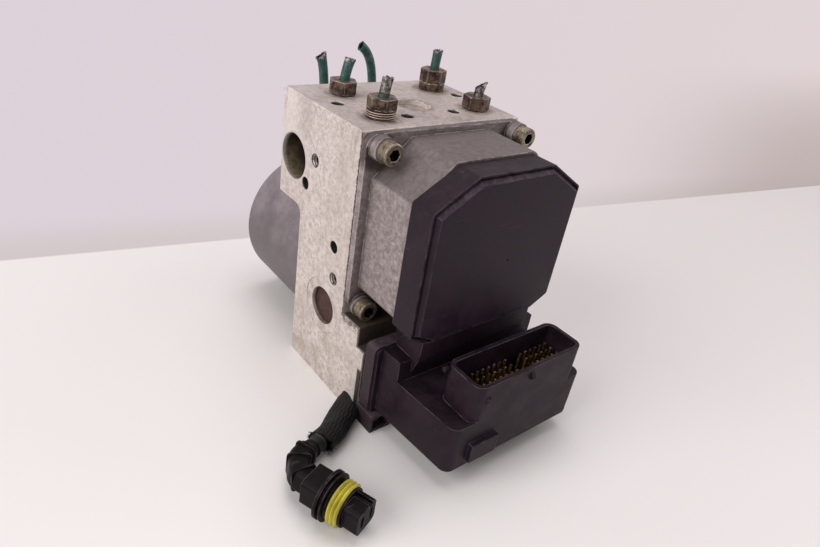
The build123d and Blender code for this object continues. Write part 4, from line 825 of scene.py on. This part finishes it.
# %% Lead
lead_length = 0.1309
lead_radius = 0.0034
route_mm = [
    (0.0, 24.2, 10.0),
    (0.0, 9.3, 10.0),
    (0.0, -11.8, 5.6),
    (-14.4, -26.6, 5.4),
    (-44.5, -27.4, 5.0),
    (-55.0, -34.6, 4.8),
    (-66.0, -43.2, 4.8),
    (-75.5, -47.6, 5.8),
    (-82.5, -51.3, 7.5),
]


def cord_curve(name, route, radius):
    """NURBS curve of order 3 through a route's control points, with a round section."""
    curve = bpy.data.curves.new(name, "CURVE")
    curve.dimensions = "3D"
    curve.bevel_depth = 1.0
    curve.bevel_resolution = 6
    curve.use_fill_caps = True
    spline = curve.splines.new("NURBS")
    spline.points.add(len(route) - 1)
    for point, (x, y, z) in zip(spline.points, route):
        point.co = (x * mm, y * mm, z * mm, 1.0)
        point.radius = radius
    spline.order_u = 3
    spline.use_endpoint_u = True
    spline.resolution_u = 12
    return curve


def centre_line(cord):
    """The points that a cord's curve runs through, read from it with its thickness taken off."""
    bare = bpy.data.objects.new("bare_line", cord.data.copy())
    bare.data.bevel_depth = 0.0
    line_mesh = bpy.data.meshes.new_from_object(bare)
    points = vertex_places(line_mesh)
    bpy.data.curves.remove(bare.data)
    bpy.data.meshes.remove(line_mesh)
    return points


def resample(points, count, start=0.0, end=1.0):
    """Points at even steps of length along a line, between two shares of its length."""
    length = length_along(points)
    return at_lengths(np.linspace(start, end, count) * length[-1], length, points)


def sweep(points, across, rise, turns, shift=0.0):
    """A tube round a line, whose section at each point is an oval square to the line.

    point = line + level side * (shift + across * cos turn) + upward side * rise * sin turn
    """
    level, upward = square_to(unit_vectors(np.gradient(points, axis=0)))
    sideways = (shift + across * np.cos(turns))[..., None]
    upwards = (rise * np.sin(turns))[..., None]
    return points[:, None] + level[:, None] * sideways + upward[:, None] * upwards


lead = add_object("lead_cord", cord_curve("lead_cord", route_mm, lead_radius))
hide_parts("motor_lead")
dress(lead, "lead_grey")
lead_line = centre_line(lead)
print("lead's line:", len(lead_line), "points")

# %% [markdown]
# ## Braided sleeve
# A loose sleeve of black braid covers the lead. It is snug in its channel, and outside the block
# it lies wide and flat against the block's foot, with the lead at its back edge. The tube's
# section is an oval whose width changes along the lead, two sets of slanting waves cross on it as
# the strands of a braid do, and its cut end is ragged.


# %% Braided sleeve
def ease(value, start, end):
    """Smooth step as an array: 0 before start, 1 after end."""
    share = np.clip((value - start) / (end - start), 0.0, 1.0)
    return share * share * (3.0 - 2.0 * share)


def ragged(turns, seed, waves=14):
    """Sum of sines round a circle with random sizes and phases, between about -1 and 1."""
    random = np.random.default_rng(seed)
    counts = random.integers(2, 24, waves)[:, None]
    phases = random.uniform(0, 2 * np.pi, waves)[:, None]
    sizes = random.uniform(0.3, 1.0, waves)[:, None]
    return (sizes * np.sin(counts * turns[None] + phases)).sum(axis=0) / waves * 2.2


sleeve_rings, sleeve_columns = 330, 144
sleeve_end = 0.917
sleeve_wall = 0.0006
block_side, table_gap = -0.0474, 0.0004
angle = full_turn(sleeve_columns)
line = resample(lead_line, sleeve_rings, 0.0, sleeve_end)
along = np.linspace(0.0, sleeve_end * lead_length, sleeve_rings)[:, None]
outside = ease(-line[:, :1], 0.0465, 0.0525)
narrowing = ease(-line[:, :1], 0.0540, 0.0740)
half_width = 0.0049 + outside * 0.0019 - narrowing * 0.0004
half_height = 0.0046 - outside * 0.0006
shift = -0.0019 * outside + 0.0010 * narrowing
# Two sets of waves that slant opposite ways, and the higher of the two at each point
strands, twist = 22, 620.0
crossing = np.maximum(
    np.cos(strands * angle[None] + twist * along), np.cos(strands * angle[None] - twist * along)
)
ripple = 0.00016 * crossing + 0.00022 * np.sin(3 * angle[None] + 260 * along) * outside
outer_skin = sweep(line, half_width + ripple, half_height + ripple, angle[None], shift)
inner_skin = sweep(
    line, half_width - sleeve_wall + ripple, half_height - sleeve_wall, angle[None], shift
)
tail = unit_vectors(line[-1] - line[-8])
fringe_rings = 24
fringe_share = ease(np.arange(sleeve_rings), sleeve_rings - fringe_rings, sleeve_rings - 1)
fringe = 0.0011 * ragged(angle, 7) * fringe_share[:, None]
past_block = line[:, :1] < block_side
for skin in (outer_skin, inner_skin):
    pressed = np.minimum(skin[..., 0], block_side)
    skin[..., 0] = np.where(past_block, pressed, skin[..., 0])
    skin[..., 2] = np.maximum(skin[..., 2], table_gap)
    skin += tail * fringe[..., None]
sleeve_mesh = grid_mesh(
    "lead_braid", np.concatenate([outer_skin, inner_skin[::-1]]), wrap_rows=True
)
sleeve = add_object("lead_braid", sleeve_mesh)
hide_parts("lead_sleeve")
dress(sleeve, "sleeve_black")
print("sleeve:", len(sleeve_mesh.vertices), "vertices")

# %% [markdown]
# ## Lead surround
# The block closes round the lead where it comes out, with no open arch beside it. This thin plate
# fills the channel's mouth: its outline is the channel's rectangle and its hole is the oval of
# the sleeve.


# %% Lead surround
plate_inside, plate_outside = -0.0458, -0.0469
in_plate = (outer_skin[..., 0] > plate_outside) & (outer_skin[..., 0] < plate_inside)
hole_low, hole_high = outer_skin[in_plate].min(axis=0), outer_skin[in_plate].max(axis=0)
middle_y, middle_z = (hole_low[1:] + hole_high[1:]) / 2
turns = full_turn(128)
cos, sin = np.cos(turns), np.sin(turns)
channel_y, channel_z = (-0.03285, -0.02055), (0.0001, 0.01095)
hair = 0.00005


def to_side(wave, sides, middle):
    """How far it is from the middle to a straight side, in the direction whose share is 'wave'."""
    distance = np.where(wave > 0, sides[1] - middle, middle - sides[0])
    return distance / np.maximum(np.abs(wave), 1e-9)


outline = np.minimum(to_side(cos, channel_y, middle_y), to_side(sin, channel_z, middle_z))
hole_y, hole_z = (hole_high[1:] - hole_low[1:]) / 2 + hair
hole = np.minimum(outline - hair, 1 / np.sqrt((cos / hole_y) ** 2 + (sin / hole_z) ** 2))
loops = [
    (outline, plate_outside), (outline, plate_inside), (hole, plate_inside), (hole, plate_outside)
]
plate_points = [
    np.stack([np.full_like(turns, x), middle_y + out * cos, middle_z + out * sin], axis=-1)
    for out, x in loops
]
surround_mesh = grid_mesh("lead_surround", np.stack(plate_points), wrap_rows=True, smooth=False)
surround = add_object("lead_surround", surround_mesh)
dress(surround, "cast_block")
print("surround hole:", np.round(hole_low * 1000, 1), np.round(hole_high * 1000, 1))

# %% [markdown]
# ## Frayed strands
# Loose ends of the braid stick out of the cut. Each is a thin tapering tube that leaves the rim
# in the direction of the lead and curls to one side, and all of them are worked out at once as
# one array.


# %% Frayed strands
def loose_strands(rims, headings, lengths, curls, radius, sides=5, steps=7):
    """Tubes that start at the rims: point = rim + heading * length * t + curl * t squared."""
    share = np.linspace(0.0, 1.0, steps)[None, :, None]
    middle = rims[:, None] + headings[:, None] * lengths[:, None, None] * share + curls[
        :, None
    ] * share**2
    first, second = square_to(headings)
    turns = full_turn(sides)[None, :, None]
    ring = first[:, None] * np.cos(turns) + second[:, None] * np.sin(turns)
    thin = radius * (1.0 - 0.55 * share)
    return middle[:, :, None] + ring[:, None] * thin[..., None]


random = np.random.default_rng(11)
strand_count = 120
picked = random.integers(0, sleeve_columns, strand_count)
rims = outer_skin[-1, picked] * 0.97 + inner_skin[-1, picked] * 0.03
headings = unit_vectors(tail + random.normal(0, 0.28, (strand_count, 3)))
lengths = random.uniform(0.0005, 0.0021, strand_count)
curls = random.normal(0, 0.0006, (strand_count, 3))
strand_grid = loose_strands(rims, headings, lengths, curls, 0.00022)
strand_grid[..., 2] = np.maximum(strand_grid[..., 2], 0.0003)
strand_meshes = [grid_mesh("strand", tube) for tube in strand_grid]
fray = add_object("frayed_strands", join_meshes("frayed_strands", strand_meshes))
dress(fray, "sleeve_black")
print("strands:", strand_count)

# %% [markdown]
# ## Cable clip
# Between the sleeve and the plug the lead is held by a short dark clip with a paler rim at each
# end; here the clip is one colour and only thicker at its ends. It is one profile carried round the
# lead's line.


# %% Cable clip
def collar(name, points, radii, inner):
    """A closed ring along a line: outer radii there and back along an inner radius."""
    turns = full_turn(48)[None]
    outer_grid = sweep(points, radii[:, None], radii[:, None], turns)
    inner_grid = sweep(points, np.full_like(radii, inner)[:, None], inner, turns)
    return grid_mesh(name, np.concatenate([outer_grid, inner_grid[::-1]]), wrap_rows=True)


clip_rings = 25
clip_line = resample(lead_line, clip_rings, 0.928, 0.972)
from_middle = np.abs(np.linspace(0, 1, clip_rings) - 0.5)
clip_radii = 0.0041 + 0.0005 * ease(from_middle, 0.36, 0.40)
clip = add_object("lead_clip", collar("lead_clip", clip_line, clip_radii, 0.0033))
dress(clip, "lead_grey")
print("clip length:", round(float(np.linalg.norm(clip_line[-1] - clip_line[0])) * 1000, 1), "mm")

# %% [markdown]
# ## Plug
# The plug is a turned stack along one axis: a thin flange, a yellow silicone seal with three
# sharp lips, and a boxy nose. The seal and the flange are profiles spun round that axis. The
# elbow behind them gets the square ribs that stiffen such a cover.


# %% Plug
plug_start = np.array((-91.9, -69.3, 11.5)) * mm
plug_axis = unit_vectors(np.array((0.368, -0.930, 0.0)))


def spun(name, start, axis, stations, radii):
    """A profile of radii over stations, spun round an axis, closed into a ring."""
    side, other = square_to(axis)
    turns = full_turn(96)
    ring = side * np.cos(turns)[:, None] + other * np.sin(turns)[:, None]
    middle = start + axis * np.asarray(stations)[:, None]
    points = middle[:, None] + ring[None] * np.asarray(radii)[:, None, None]
    return grid_mesh(name, points, wrap_rows=True)


# Each lip rises and falls once as its share of the seal's length goes from one whole to the next
seal_start, seal_end, lip_count = 14.3, 19.9, 3
seal_root, lip_rise, seal_bore = 8.4, 1.4, 8.0
lip_stations = np.linspace(seal_start, seal_end, 61)
lip_share = (lip_stations - seal_start) / (seal_end - seal_start) * lip_count
within = lip_share - np.floor(np.minimum(lip_share, lip_count - 0.001))
seal_profile = seal_root + lip_rise * (1.0 - np.abs(2 * within - 1) ** 1.5)
stations = np.concatenate([lip_stations, [seal_end, seal_start]]) * mm
radii = np.concatenate([seal_profile, [seal_bore, seal_bore]]) * mm
seal_ring = add_object("seal_lips", spun("seal_lips", plug_start, plug_axis, stations, radii))
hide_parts("plug_seal")
dress(seal_ring, "seal_yellow")

flange_stations = np.array([11.9, 12.0, 12.5, 12.6, 12.6, 11.9]) * mm
flange_radii = np.array([10.5, 10.8, 10.8, 10.5, 8.2, 8.2]) * mm
washer_mesh = spun("plug_washer", plug_start, plug_axis, flange_stations, flange_radii)
thin_flange = add_object("plug_washer", washer_mesh)
dress(thin_flange, "plug_plastic")


def square_ring(name, centre, heading, outer, inner, thickness, bluntness=0.32):
    """A squarish ring: its radius is that of a rounded square, |cos|^n and |sin|^n of the turn."""
    heading = unit_vectors(np.array(heading))
    side, other = square_to(heading)
    turns = full_turn(64)
    across = np.sign(np.cos(turns)) * np.abs(np.cos(turns)) ** bluntness
    upward = np.sign(np.sin(turns)) * np.abs(np.sin(turns)) ** bluntness
    ring = side * across[:, None] + other * upward[:, None]
    rows = [(outer, -0.5), (outer, 0.5), (inner, 0.5), (inner, -0.5)]
    centre = np.array(centre)
    points = [(centre + ring * size + heading * step * thickness) * mm for size, step in rows]
    return grid_mesh(name, np.stack(points), wrap_rows=True, smooth=False)


ribs = [
    ((-84.6, -52.2, 8.0), (-6.7, -2.8, 1.5), 5.5, 0.9),
    ((-90.2, -56.6, 9.6), (-4.8, -7.8, 2.0), 5.5, 0.8),
    ((-93.0, -65.4, 11.4), (-0.6, -9.0, 0.6), 5.7, 0.9),
]
rib_bore = 4.6
rib_meshes = [square_ring("rib", *place, outer, rib_bore, width) for *place, outer, width in ribs]
elbow_ribs = add_object("elbow_ribs", join_meshes("elbow_ribs", rib_meshes))
dress(elbow_ribs, "plug_plastic")
print("plug pieces: seal, washer,", len(ribs), "ribs")

# %% [markdown]
# ## Torn brake pipes
# The car's brake pipes were broken off above their nuts. Each stump is a bent tube whose rim
# tears to a different height all the way round, flares a little and shows bare steel where the
# green coat came off. A point of the wall is the pipe's centre line at a share of that side's own
# length, plus the radius.


# %% Torn pipes
def bezier(points, count):
    """Smooth line from the first point to the last, pulled towards the ones between."""
    share = np.linspace(0, 1, count)[:, None]
    points = [np.asarray(point) * mm for point in points]
    order = len(points) - 1
    weights = (
        math.comb(order, k) * share**k * (1 - share) ** (order - k) for k in range(order + 1)
    )
    return sum(weight * point for weight, point in zip(weights, points))


def torn_pipe(
    name, points, tear, slant, bare_from, seed, crush=0.0, flare=0.0, radius=2.4, wall=0.7
):
    """A tube along a line, torn off at its end. Lengths are in millimetres.

    'tear' is how ragged its rim is, 'slant' how much longer one side is, 'crush' how far its mouth
    is squeezed flat, 'flare' how far it opens, and the coat is gone above the height 'bare_from'.
    """
    line = bezier(points, 80)
    steps = length_along(line)
    ahead = unit_vectors(np.gradient(line, axis=0))
    side = unit_vectors(np.cross((0.0, 1.0, 0.0), ahead))
    other = np.cross(ahead, side)
    turns = full_turn(56)
    reach = steps[-1] - tear * mm * (0.5 + 0.5 * np.clip(ragged(turns, seed, 9), -1, 1))
    reach -= slant * mm * (0.5 - 0.5 * np.cos(turns + seed))
    share = np.linspace(0, 1, 46)[:, None]
    at = share * reach[None]
    centre, first, second = (at_lengths(at, steps, part) for part in (line, side, other))
    to_rim = (reach[None] - at) / mm
    mouth = np.exp(-to_rim / 1.8)
    cos, sin = np.cos(turns + seed)[None], np.sin(turns + seed)[None]
    skins = []
    for size in (radius, radius - wall):
        grown = (size + flare * mouth + 0.12 * np.sin(5 * turns + seed) * mouth) * mm
        wide = grown * (1 + 0.35 * crush * mouth)
        flat = grown * (1 - crush * mouth)
        skins.append(centre + first * (wide * cos)[..., None] + second * (flat * sin)[..., None])
    mesh = grid_mesh(name, np.concatenate([skins[0], skins[1][::-1]]), wrap_rows=True)
    lean, heights = vertex_places(mesh)[:, [0, 2]].T / mm
    bare = np.clip((heights + 0.35 * np.sin(lean * 2.1 + seed) - bare_from) / 1.2 + 0.5, 0, 1)
    mesh.attributes.new("bare", "FLOAT", "POINT").data.foreach_set("value", bare.astype(np.float32))
    return mesh


# Each row: name, route in millimetres, and (tear, slant, bare_from, seed, crush, flare)
top_pipes = [
    (
        "front_left_pipe",
        [(-27.6, -1.8, 134), (-27.6, -1.8, 148), (-27.4, -1.8, 154), (-25.6, -1.8, 160.4)],
        (1.0, 0.9, 152.2, 3, 0.16, 0.15),
    ),
    (
        "back_left_pipe",
        [(-25.2, 33.4, 134), (-25.2, 33.4, 146), (-24.8, 33.4, 152), (-22.0, 33.4, 159.2)],
        (1.1, 0.8, 157.6, 5, 0.20, 0.25),
    ),
    (
        "back_right_pipe",
        [(30.8, 33.4, 134), (30.8, 33.4, 148), (30.9, 33.4, 156), (31.7, 33.4, 163.0)],
        (1.1, 0.8, 161.0, 8, 0.16, 0.3),
    ),
    (
        "crushed_pipe",
        [(31.9, -0.4, 134), (31.9, -0.4, 147), (32.0, -0.4, 150), (34.6, 0.0, 156.4)],
        (0.7, 4.6, 147.0, 2, 0.72, 0.5),
    ),
]
for name, route, damage in top_pipes:
    piece = add_object(name, torn_pipe(name, route, *damage))
    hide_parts("cut_pipes")
    dress(piece, "pipe_green")

# The rear pipes leave the back of the block and then rise at this Y
rise_y = 63.6
left_start = [(-15.5, 41.0, 118), (-15.5, 66.5, 116.5), (-15.6, rise_y, 125)]
left_rise = [(-16.4, rise_y, 138), (-17.6, rise_y, 148), (-20.4, rise_y, 153.0)]
right_start = [(15.0, 41.0, 118), (15.0, 67.5, 116), (15.0, rise_y, 127)]
right_rise = [(14.8, rise_y, 143), (12.6, rise_y, 152.5), (3.6, rise_y, 157.2)]
rear_pipes = [
    ("rear_left_pipe", left_start + left_rise, (0.9, 0.6, 150.6, 4, 0.45, 0.5)),
    ("rear_right_pipe", right_start + right_rise, (0.6, 0.3, 159.5, 6, 0.1, 0.1)),
]
for name, route, damage in rear_pipes:
    piece = add_object(name, torn_pipe(name, route, *damage))
    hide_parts("back_pipes")
    dress(piece, "pipe_green")
print("pipes:", len(top_pipes) + len(rear_pipes))

# %% [markdown]
# ## Threads
# The front left nut is not screwed home, so four turns of its thread show, and the two tapped
# holes in the left side have bright turns inside. A thread is a tube whose radius rises and falls
# with the height minus one pitch per turn, so that its ridge climbs as a helix.


# %% Threads
def thread(name, foot, axis, length, pitch, root, crest, back):
    """Ridged tube: radius = root + (crest - root) * triangle wave of (height / pitch - turn)."""
    axis = np.asarray(axis, float)
    side = np.cross(axis, (0.0, 1.0, 0.0))
    other = np.cross(axis, side)
    turns = full_turn(96)[None]
    height = np.linspace(0, length, int(length / pitch * 12) + 1)[:, None]
    wave = np.abs(2 * np.mod(height / pitch - turns / (2 * np.pi), 1.0) - 1)
    ease_in = np.minimum(1.0, np.minimum(height, length - height) / (0.4 * pitch))
    radius = root + (crest - root) * wave * ease_in
    ring = side * np.cos(turns)[0][:, None] + other * np.sin(turns)[0][:, None]
    middle = np.asarray(foot) + axis * height[..., None]
    ridged = middle + ring[None] * radius[..., None]
    plain = middle + ring[None] * back
    return grid_mesh(name, np.concatenate([ridged, plain[::-1]]) * mm, wrap_rows=True)


nut_x, nut_y = line_ports[0][:2]
nut_turns = thread("nut_thread", (nut_x, nut_y, 142.05), (0, 0, 1), 4.1, 1.0, 6.35, 6.95, 6.0)
nut_thread = add_object("nut_thread", nut_turns)
dress(nut_thread, "nut_steel")
thread_x = left_face + 0.45
# Root, crest and back of the turns, from the radius of the hole
thread_sizes = np.array((0.02, -0.5, 0.04))
hole_threads = [
    thread("hole_thread", (thread_x, y, z), (1, 0, 0), 8.2, 1.25, *(radius + thread_sizes))
    for y, z, radius in tapped_holes
]
tapped = add_object("tapped_threads", join_meshes("tapped_threads", hole_threads))
dress(tapped, "cast_block", bright_thread())
print("threads on the nut and in", len(hole_threads), "holes")

# %% [markdown]
# ## Accumulator springs
# Under each accumulator piston stands a coil spring that gives way when the piston is pushed down.
# Each is a round wire carried along a helix, as tall as the CAD springs that it stands in for.


# %% Accumulator springs
def coil_spring(name, centre, low, high, mean_radius, wire, coils):
    """Helix: angle and height both grow with t, and the wire's circle stands across the radius."""
    share = np.linspace(0, 1, int(coils * 36) + 1)[:, None]
    turn = 2 * np.pi * coils * share
    radial = np.concatenate([np.cos(turn), np.sin(turn), np.zeros_like(turn)], axis=1)
    height = low + wire + (high - low - 2 * wire) * share
    x, y = (np.full_like(share, place) for place in centre)
    line = np.concatenate([x, y, height], axis=1)
    around = full_turn(12)[None, :, None]
    outward = radial[:, None] * (mean_radius + wire * np.cos(around))
    return grid_mesh(name, line[:, None] + outward + np.array((0, 0, 1.0)) * wire * np.sin(around))


spring_corners = np.array(nodes["accumulator_springs"].bound_box)
spring_low, spring_high = spring_corners[:, 2].min(), spring_corners[:, 2].max()
coil_radius, wire_radius, coil_count = 5.7 * mm, 0.65 * mm, 6.5
for side, x in (("left", -27.0), ("right", 27.0)):
    name = f"accumulator_spring_{side}"
    foot = (x * mm, 3.6 * mm)
    coil = coil_spring(name, foot, spring_low, spring_high, coil_radius, wire_radius, coil_count)
    spring = add_object(name, coil)
    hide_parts("accumulator_springs")
    dress(spring, "spring_steel")
    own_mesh(spring)

# %% [markdown]
# ## Studio
# The unit stands on a pale table whose far edge runs slantwise behind it, and beyond the edge
# everything is a greyish pink, with a painted shadow band along the edge and a painted dark corner
# far to the right. One very large sheet is both: up to the edge it is the table and takes the
# unit's shadow, and beyond it shows its own colour plainly. Nothing stands up, so the unit can be
# looked at from behind too. Large soft lamps stand on the left, on the right, above and, weakly, in
# front.


# %% Table and backdrop
edge_normal = (0.1855, 0.9826)
edge_distance = 0.148


def seen_directly(tree):
    """1 for what the camera, a mirror or glass sees, 0 for light that is bounced about."""
    path = tree.nodes.new("ShaderNodeLightPath")
    rays = [path.outputs[f"Is {kind} Ray"] for kind in ("Camera", "Glossy", "Transmission")]
    seen = rays[0]
    for ray in rays[1:]:
        larger = tree.nodes.new("ShaderNodeMath")
        larger.operation = "MAXIMUM"
        tree.links.new(seen, larger.inputs[0])
        tree.links.new(ray, larger.inputs[1])
        seen = larger.outputs[0]
    return seen


def table_and_backdrop():
    """The table up to its far edge, and a plain shaded colour beyond it."""
    f = Finish("table_and_backdrop", 0.0, 0.4)
    x, y = f.coordinate("X"), f.coordinate("Y")
    across = f.math("MULTIPLY", x, edge_normal[0], clamped=False)
    onward = f.math("MULTIPLY", y, edge_normal[1], clamped=False)
    slanted = f.math("ADD", across, onward, clamped=False)
    beyond = f.math("SUBTRACT", slanted, edge_distance, clamped=False)
    # The table is painted a little darker towards the right, as shade
    right = f.step(x, -0.05, 0.45)
    table = f.mix(right, (0.80, 0.775, 0.765), (0.785, 0.748, 0.742))
    # The backdrop's shade keeps to one side, in a fan that opens from a place in front of the unit
    sideways = f.math("ADD", x, 0.194, clamped=False)
    away = f.math("ADD", beyond, 0.3985, clamped=False)
    aside = f.math("DIVIDE", sideways, away, clamped=False)
    plain = f.mix(f.step(aside, -0.5, 3.2), (0.712, 0.637, 0.690), (0.775, 0.665, 0.660))
    # A painted shadow band darkens the backdrop along the table's edge
    plain = f.mix(f.step(beyond, 0.06, 0.0, 0.0, 0.9), plain, (0.645, 0.575, 0.575))
    # A painted shadow darkens a corner of the backdrop far to the right
    corner = f.both(f.step(aside, 1.15, 2.05), f.step(beyond, 0.75, 0.0, 0.0, 0.75))
    plain = f.mix(corner, plain, (0.46, 0.385, 0.375))
    backdrop = f.step(beyond, -0.0015, 0.0015)
    plain = f.mix(backdrop, (0.82, 0.78, 0.775), plain)
    far_off = f.step(f.from_line("Z", (0, 0, 0)), 1.0, 2.2)
    f.colour(f.mix(backdrop, table, plain))
    f.relief((f.noise(700, 3), 0.00002))
    glow = f.add("ShaderNodeEmission")
    f.put(glow.inputs["Color"], plain)
    blend = f.add("ShaderNodeMixShader")
    f.put(blend.inputs[0], f.math("MULTIPLY", f.either(backdrop, far_off), seen_directly(f.tree)))
    f.put(blend.inputs[1], f.shader.outputs[0])
    f.put(blend.inputs[2], glow.outputs[0])
    f.put(f.tree.nodes["Material Output"].inputs["Surface"], blend.outputs[0])
    return f.material


sheet_reach = 30.0
sheet_corners = [
    (x * sheet_reach, y * sheet_reach, 0) for x, y in ((-1, -1), (1, -1), (1, 1), (-1, 1))
]
sheet_mesh = bpy.data.meshes.new("table")
sheet_mesh.from_pydata(sheet_corners, [], [(0, 1, 2, 3)])
sheet_mesh.materials.append(table_and_backdrop())
sheet = place_in_scene("table", sheet_mesh)
print("table edge:", edge_distance, "m behind the middle of the unit")


# %% Lamps
def soft_lamp(name, place, target, size, power, colour=(1, 1, 1)):
    """A round soft lamp that stands at one point and looks at another."""
    data = bpy.data.lights.new(name, "AREA")
    data.shape = "DISK"
    data.size = size
    data.energy = power
    data.color = colour
    lamp = place_in_scene(name, data)
    aim = Vector(target) - Vector(place)
    lamp.matrix_world = Matrix.Translation(place) @ aim.to_track_quat(
        "-Z", "Y"
    ).to_matrix().to_4x4()


soft_lamp("left_lamp", (-1.15, 0.05, 0.75), (0, 0, 0.06), 1.0, 12.2, (1.0, 0.985, 0.97))
soft_lamp("right_lamp", (1.15, -0.40, 0.80), (0.05, 0, 0.02), 0.8, 3.2, (1.0, 0.965, 0.96))
soft_lamp("top_lamp", (0.05, 0.12, 1.2), (0, 0, 0.05), 0.9, 6.4, (1.0, 0.97, 0.98))
soft_lamp("front_lamp", (0.5, -1.0, 0.4), (0, 0, 0.06), 1.0, 0.8, (0.97, 0.97, 1.0))

world = bpy.data.worlds.new("studio")
bpy.context.scene.world = world
world.use_nodes = True
light = world.node_tree.nodes["Background"]
light.inputs["Color"].default_value = (0.80, 0.74, 0.76, 1.0)
light.inputs["Strength"].default_value = 0.36
plain_sky = world.node_tree.nodes.new("ShaderNodeBackground")
plain_sky.inputs["Color"].default_value = (0.74, 0.65, 0.68, 1.0)
plain_sky.inputs["Strength"].default_value = 1.0
sky = world.node_tree.nodes.new("ShaderNodeMixShader")
sky_ends = (
    (seen_directly(world.node_tree), sky.inputs[0]),
    (light.outputs[0], sky.inputs[1]),
    (plain_sky.outputs[0], sky.inputs[2]),
    (sky.outputs[0], world.node_tree.nodes["World Output"].inputs["Surface"]),
)
for start, end in sky_ends:
    world.node_tree.links.new(start, end)
bpy.context.scene.view_settings.view_transform = "Standard"
print("lamps placed")

# %% Update the scene
bpy.context.view_layer.update()
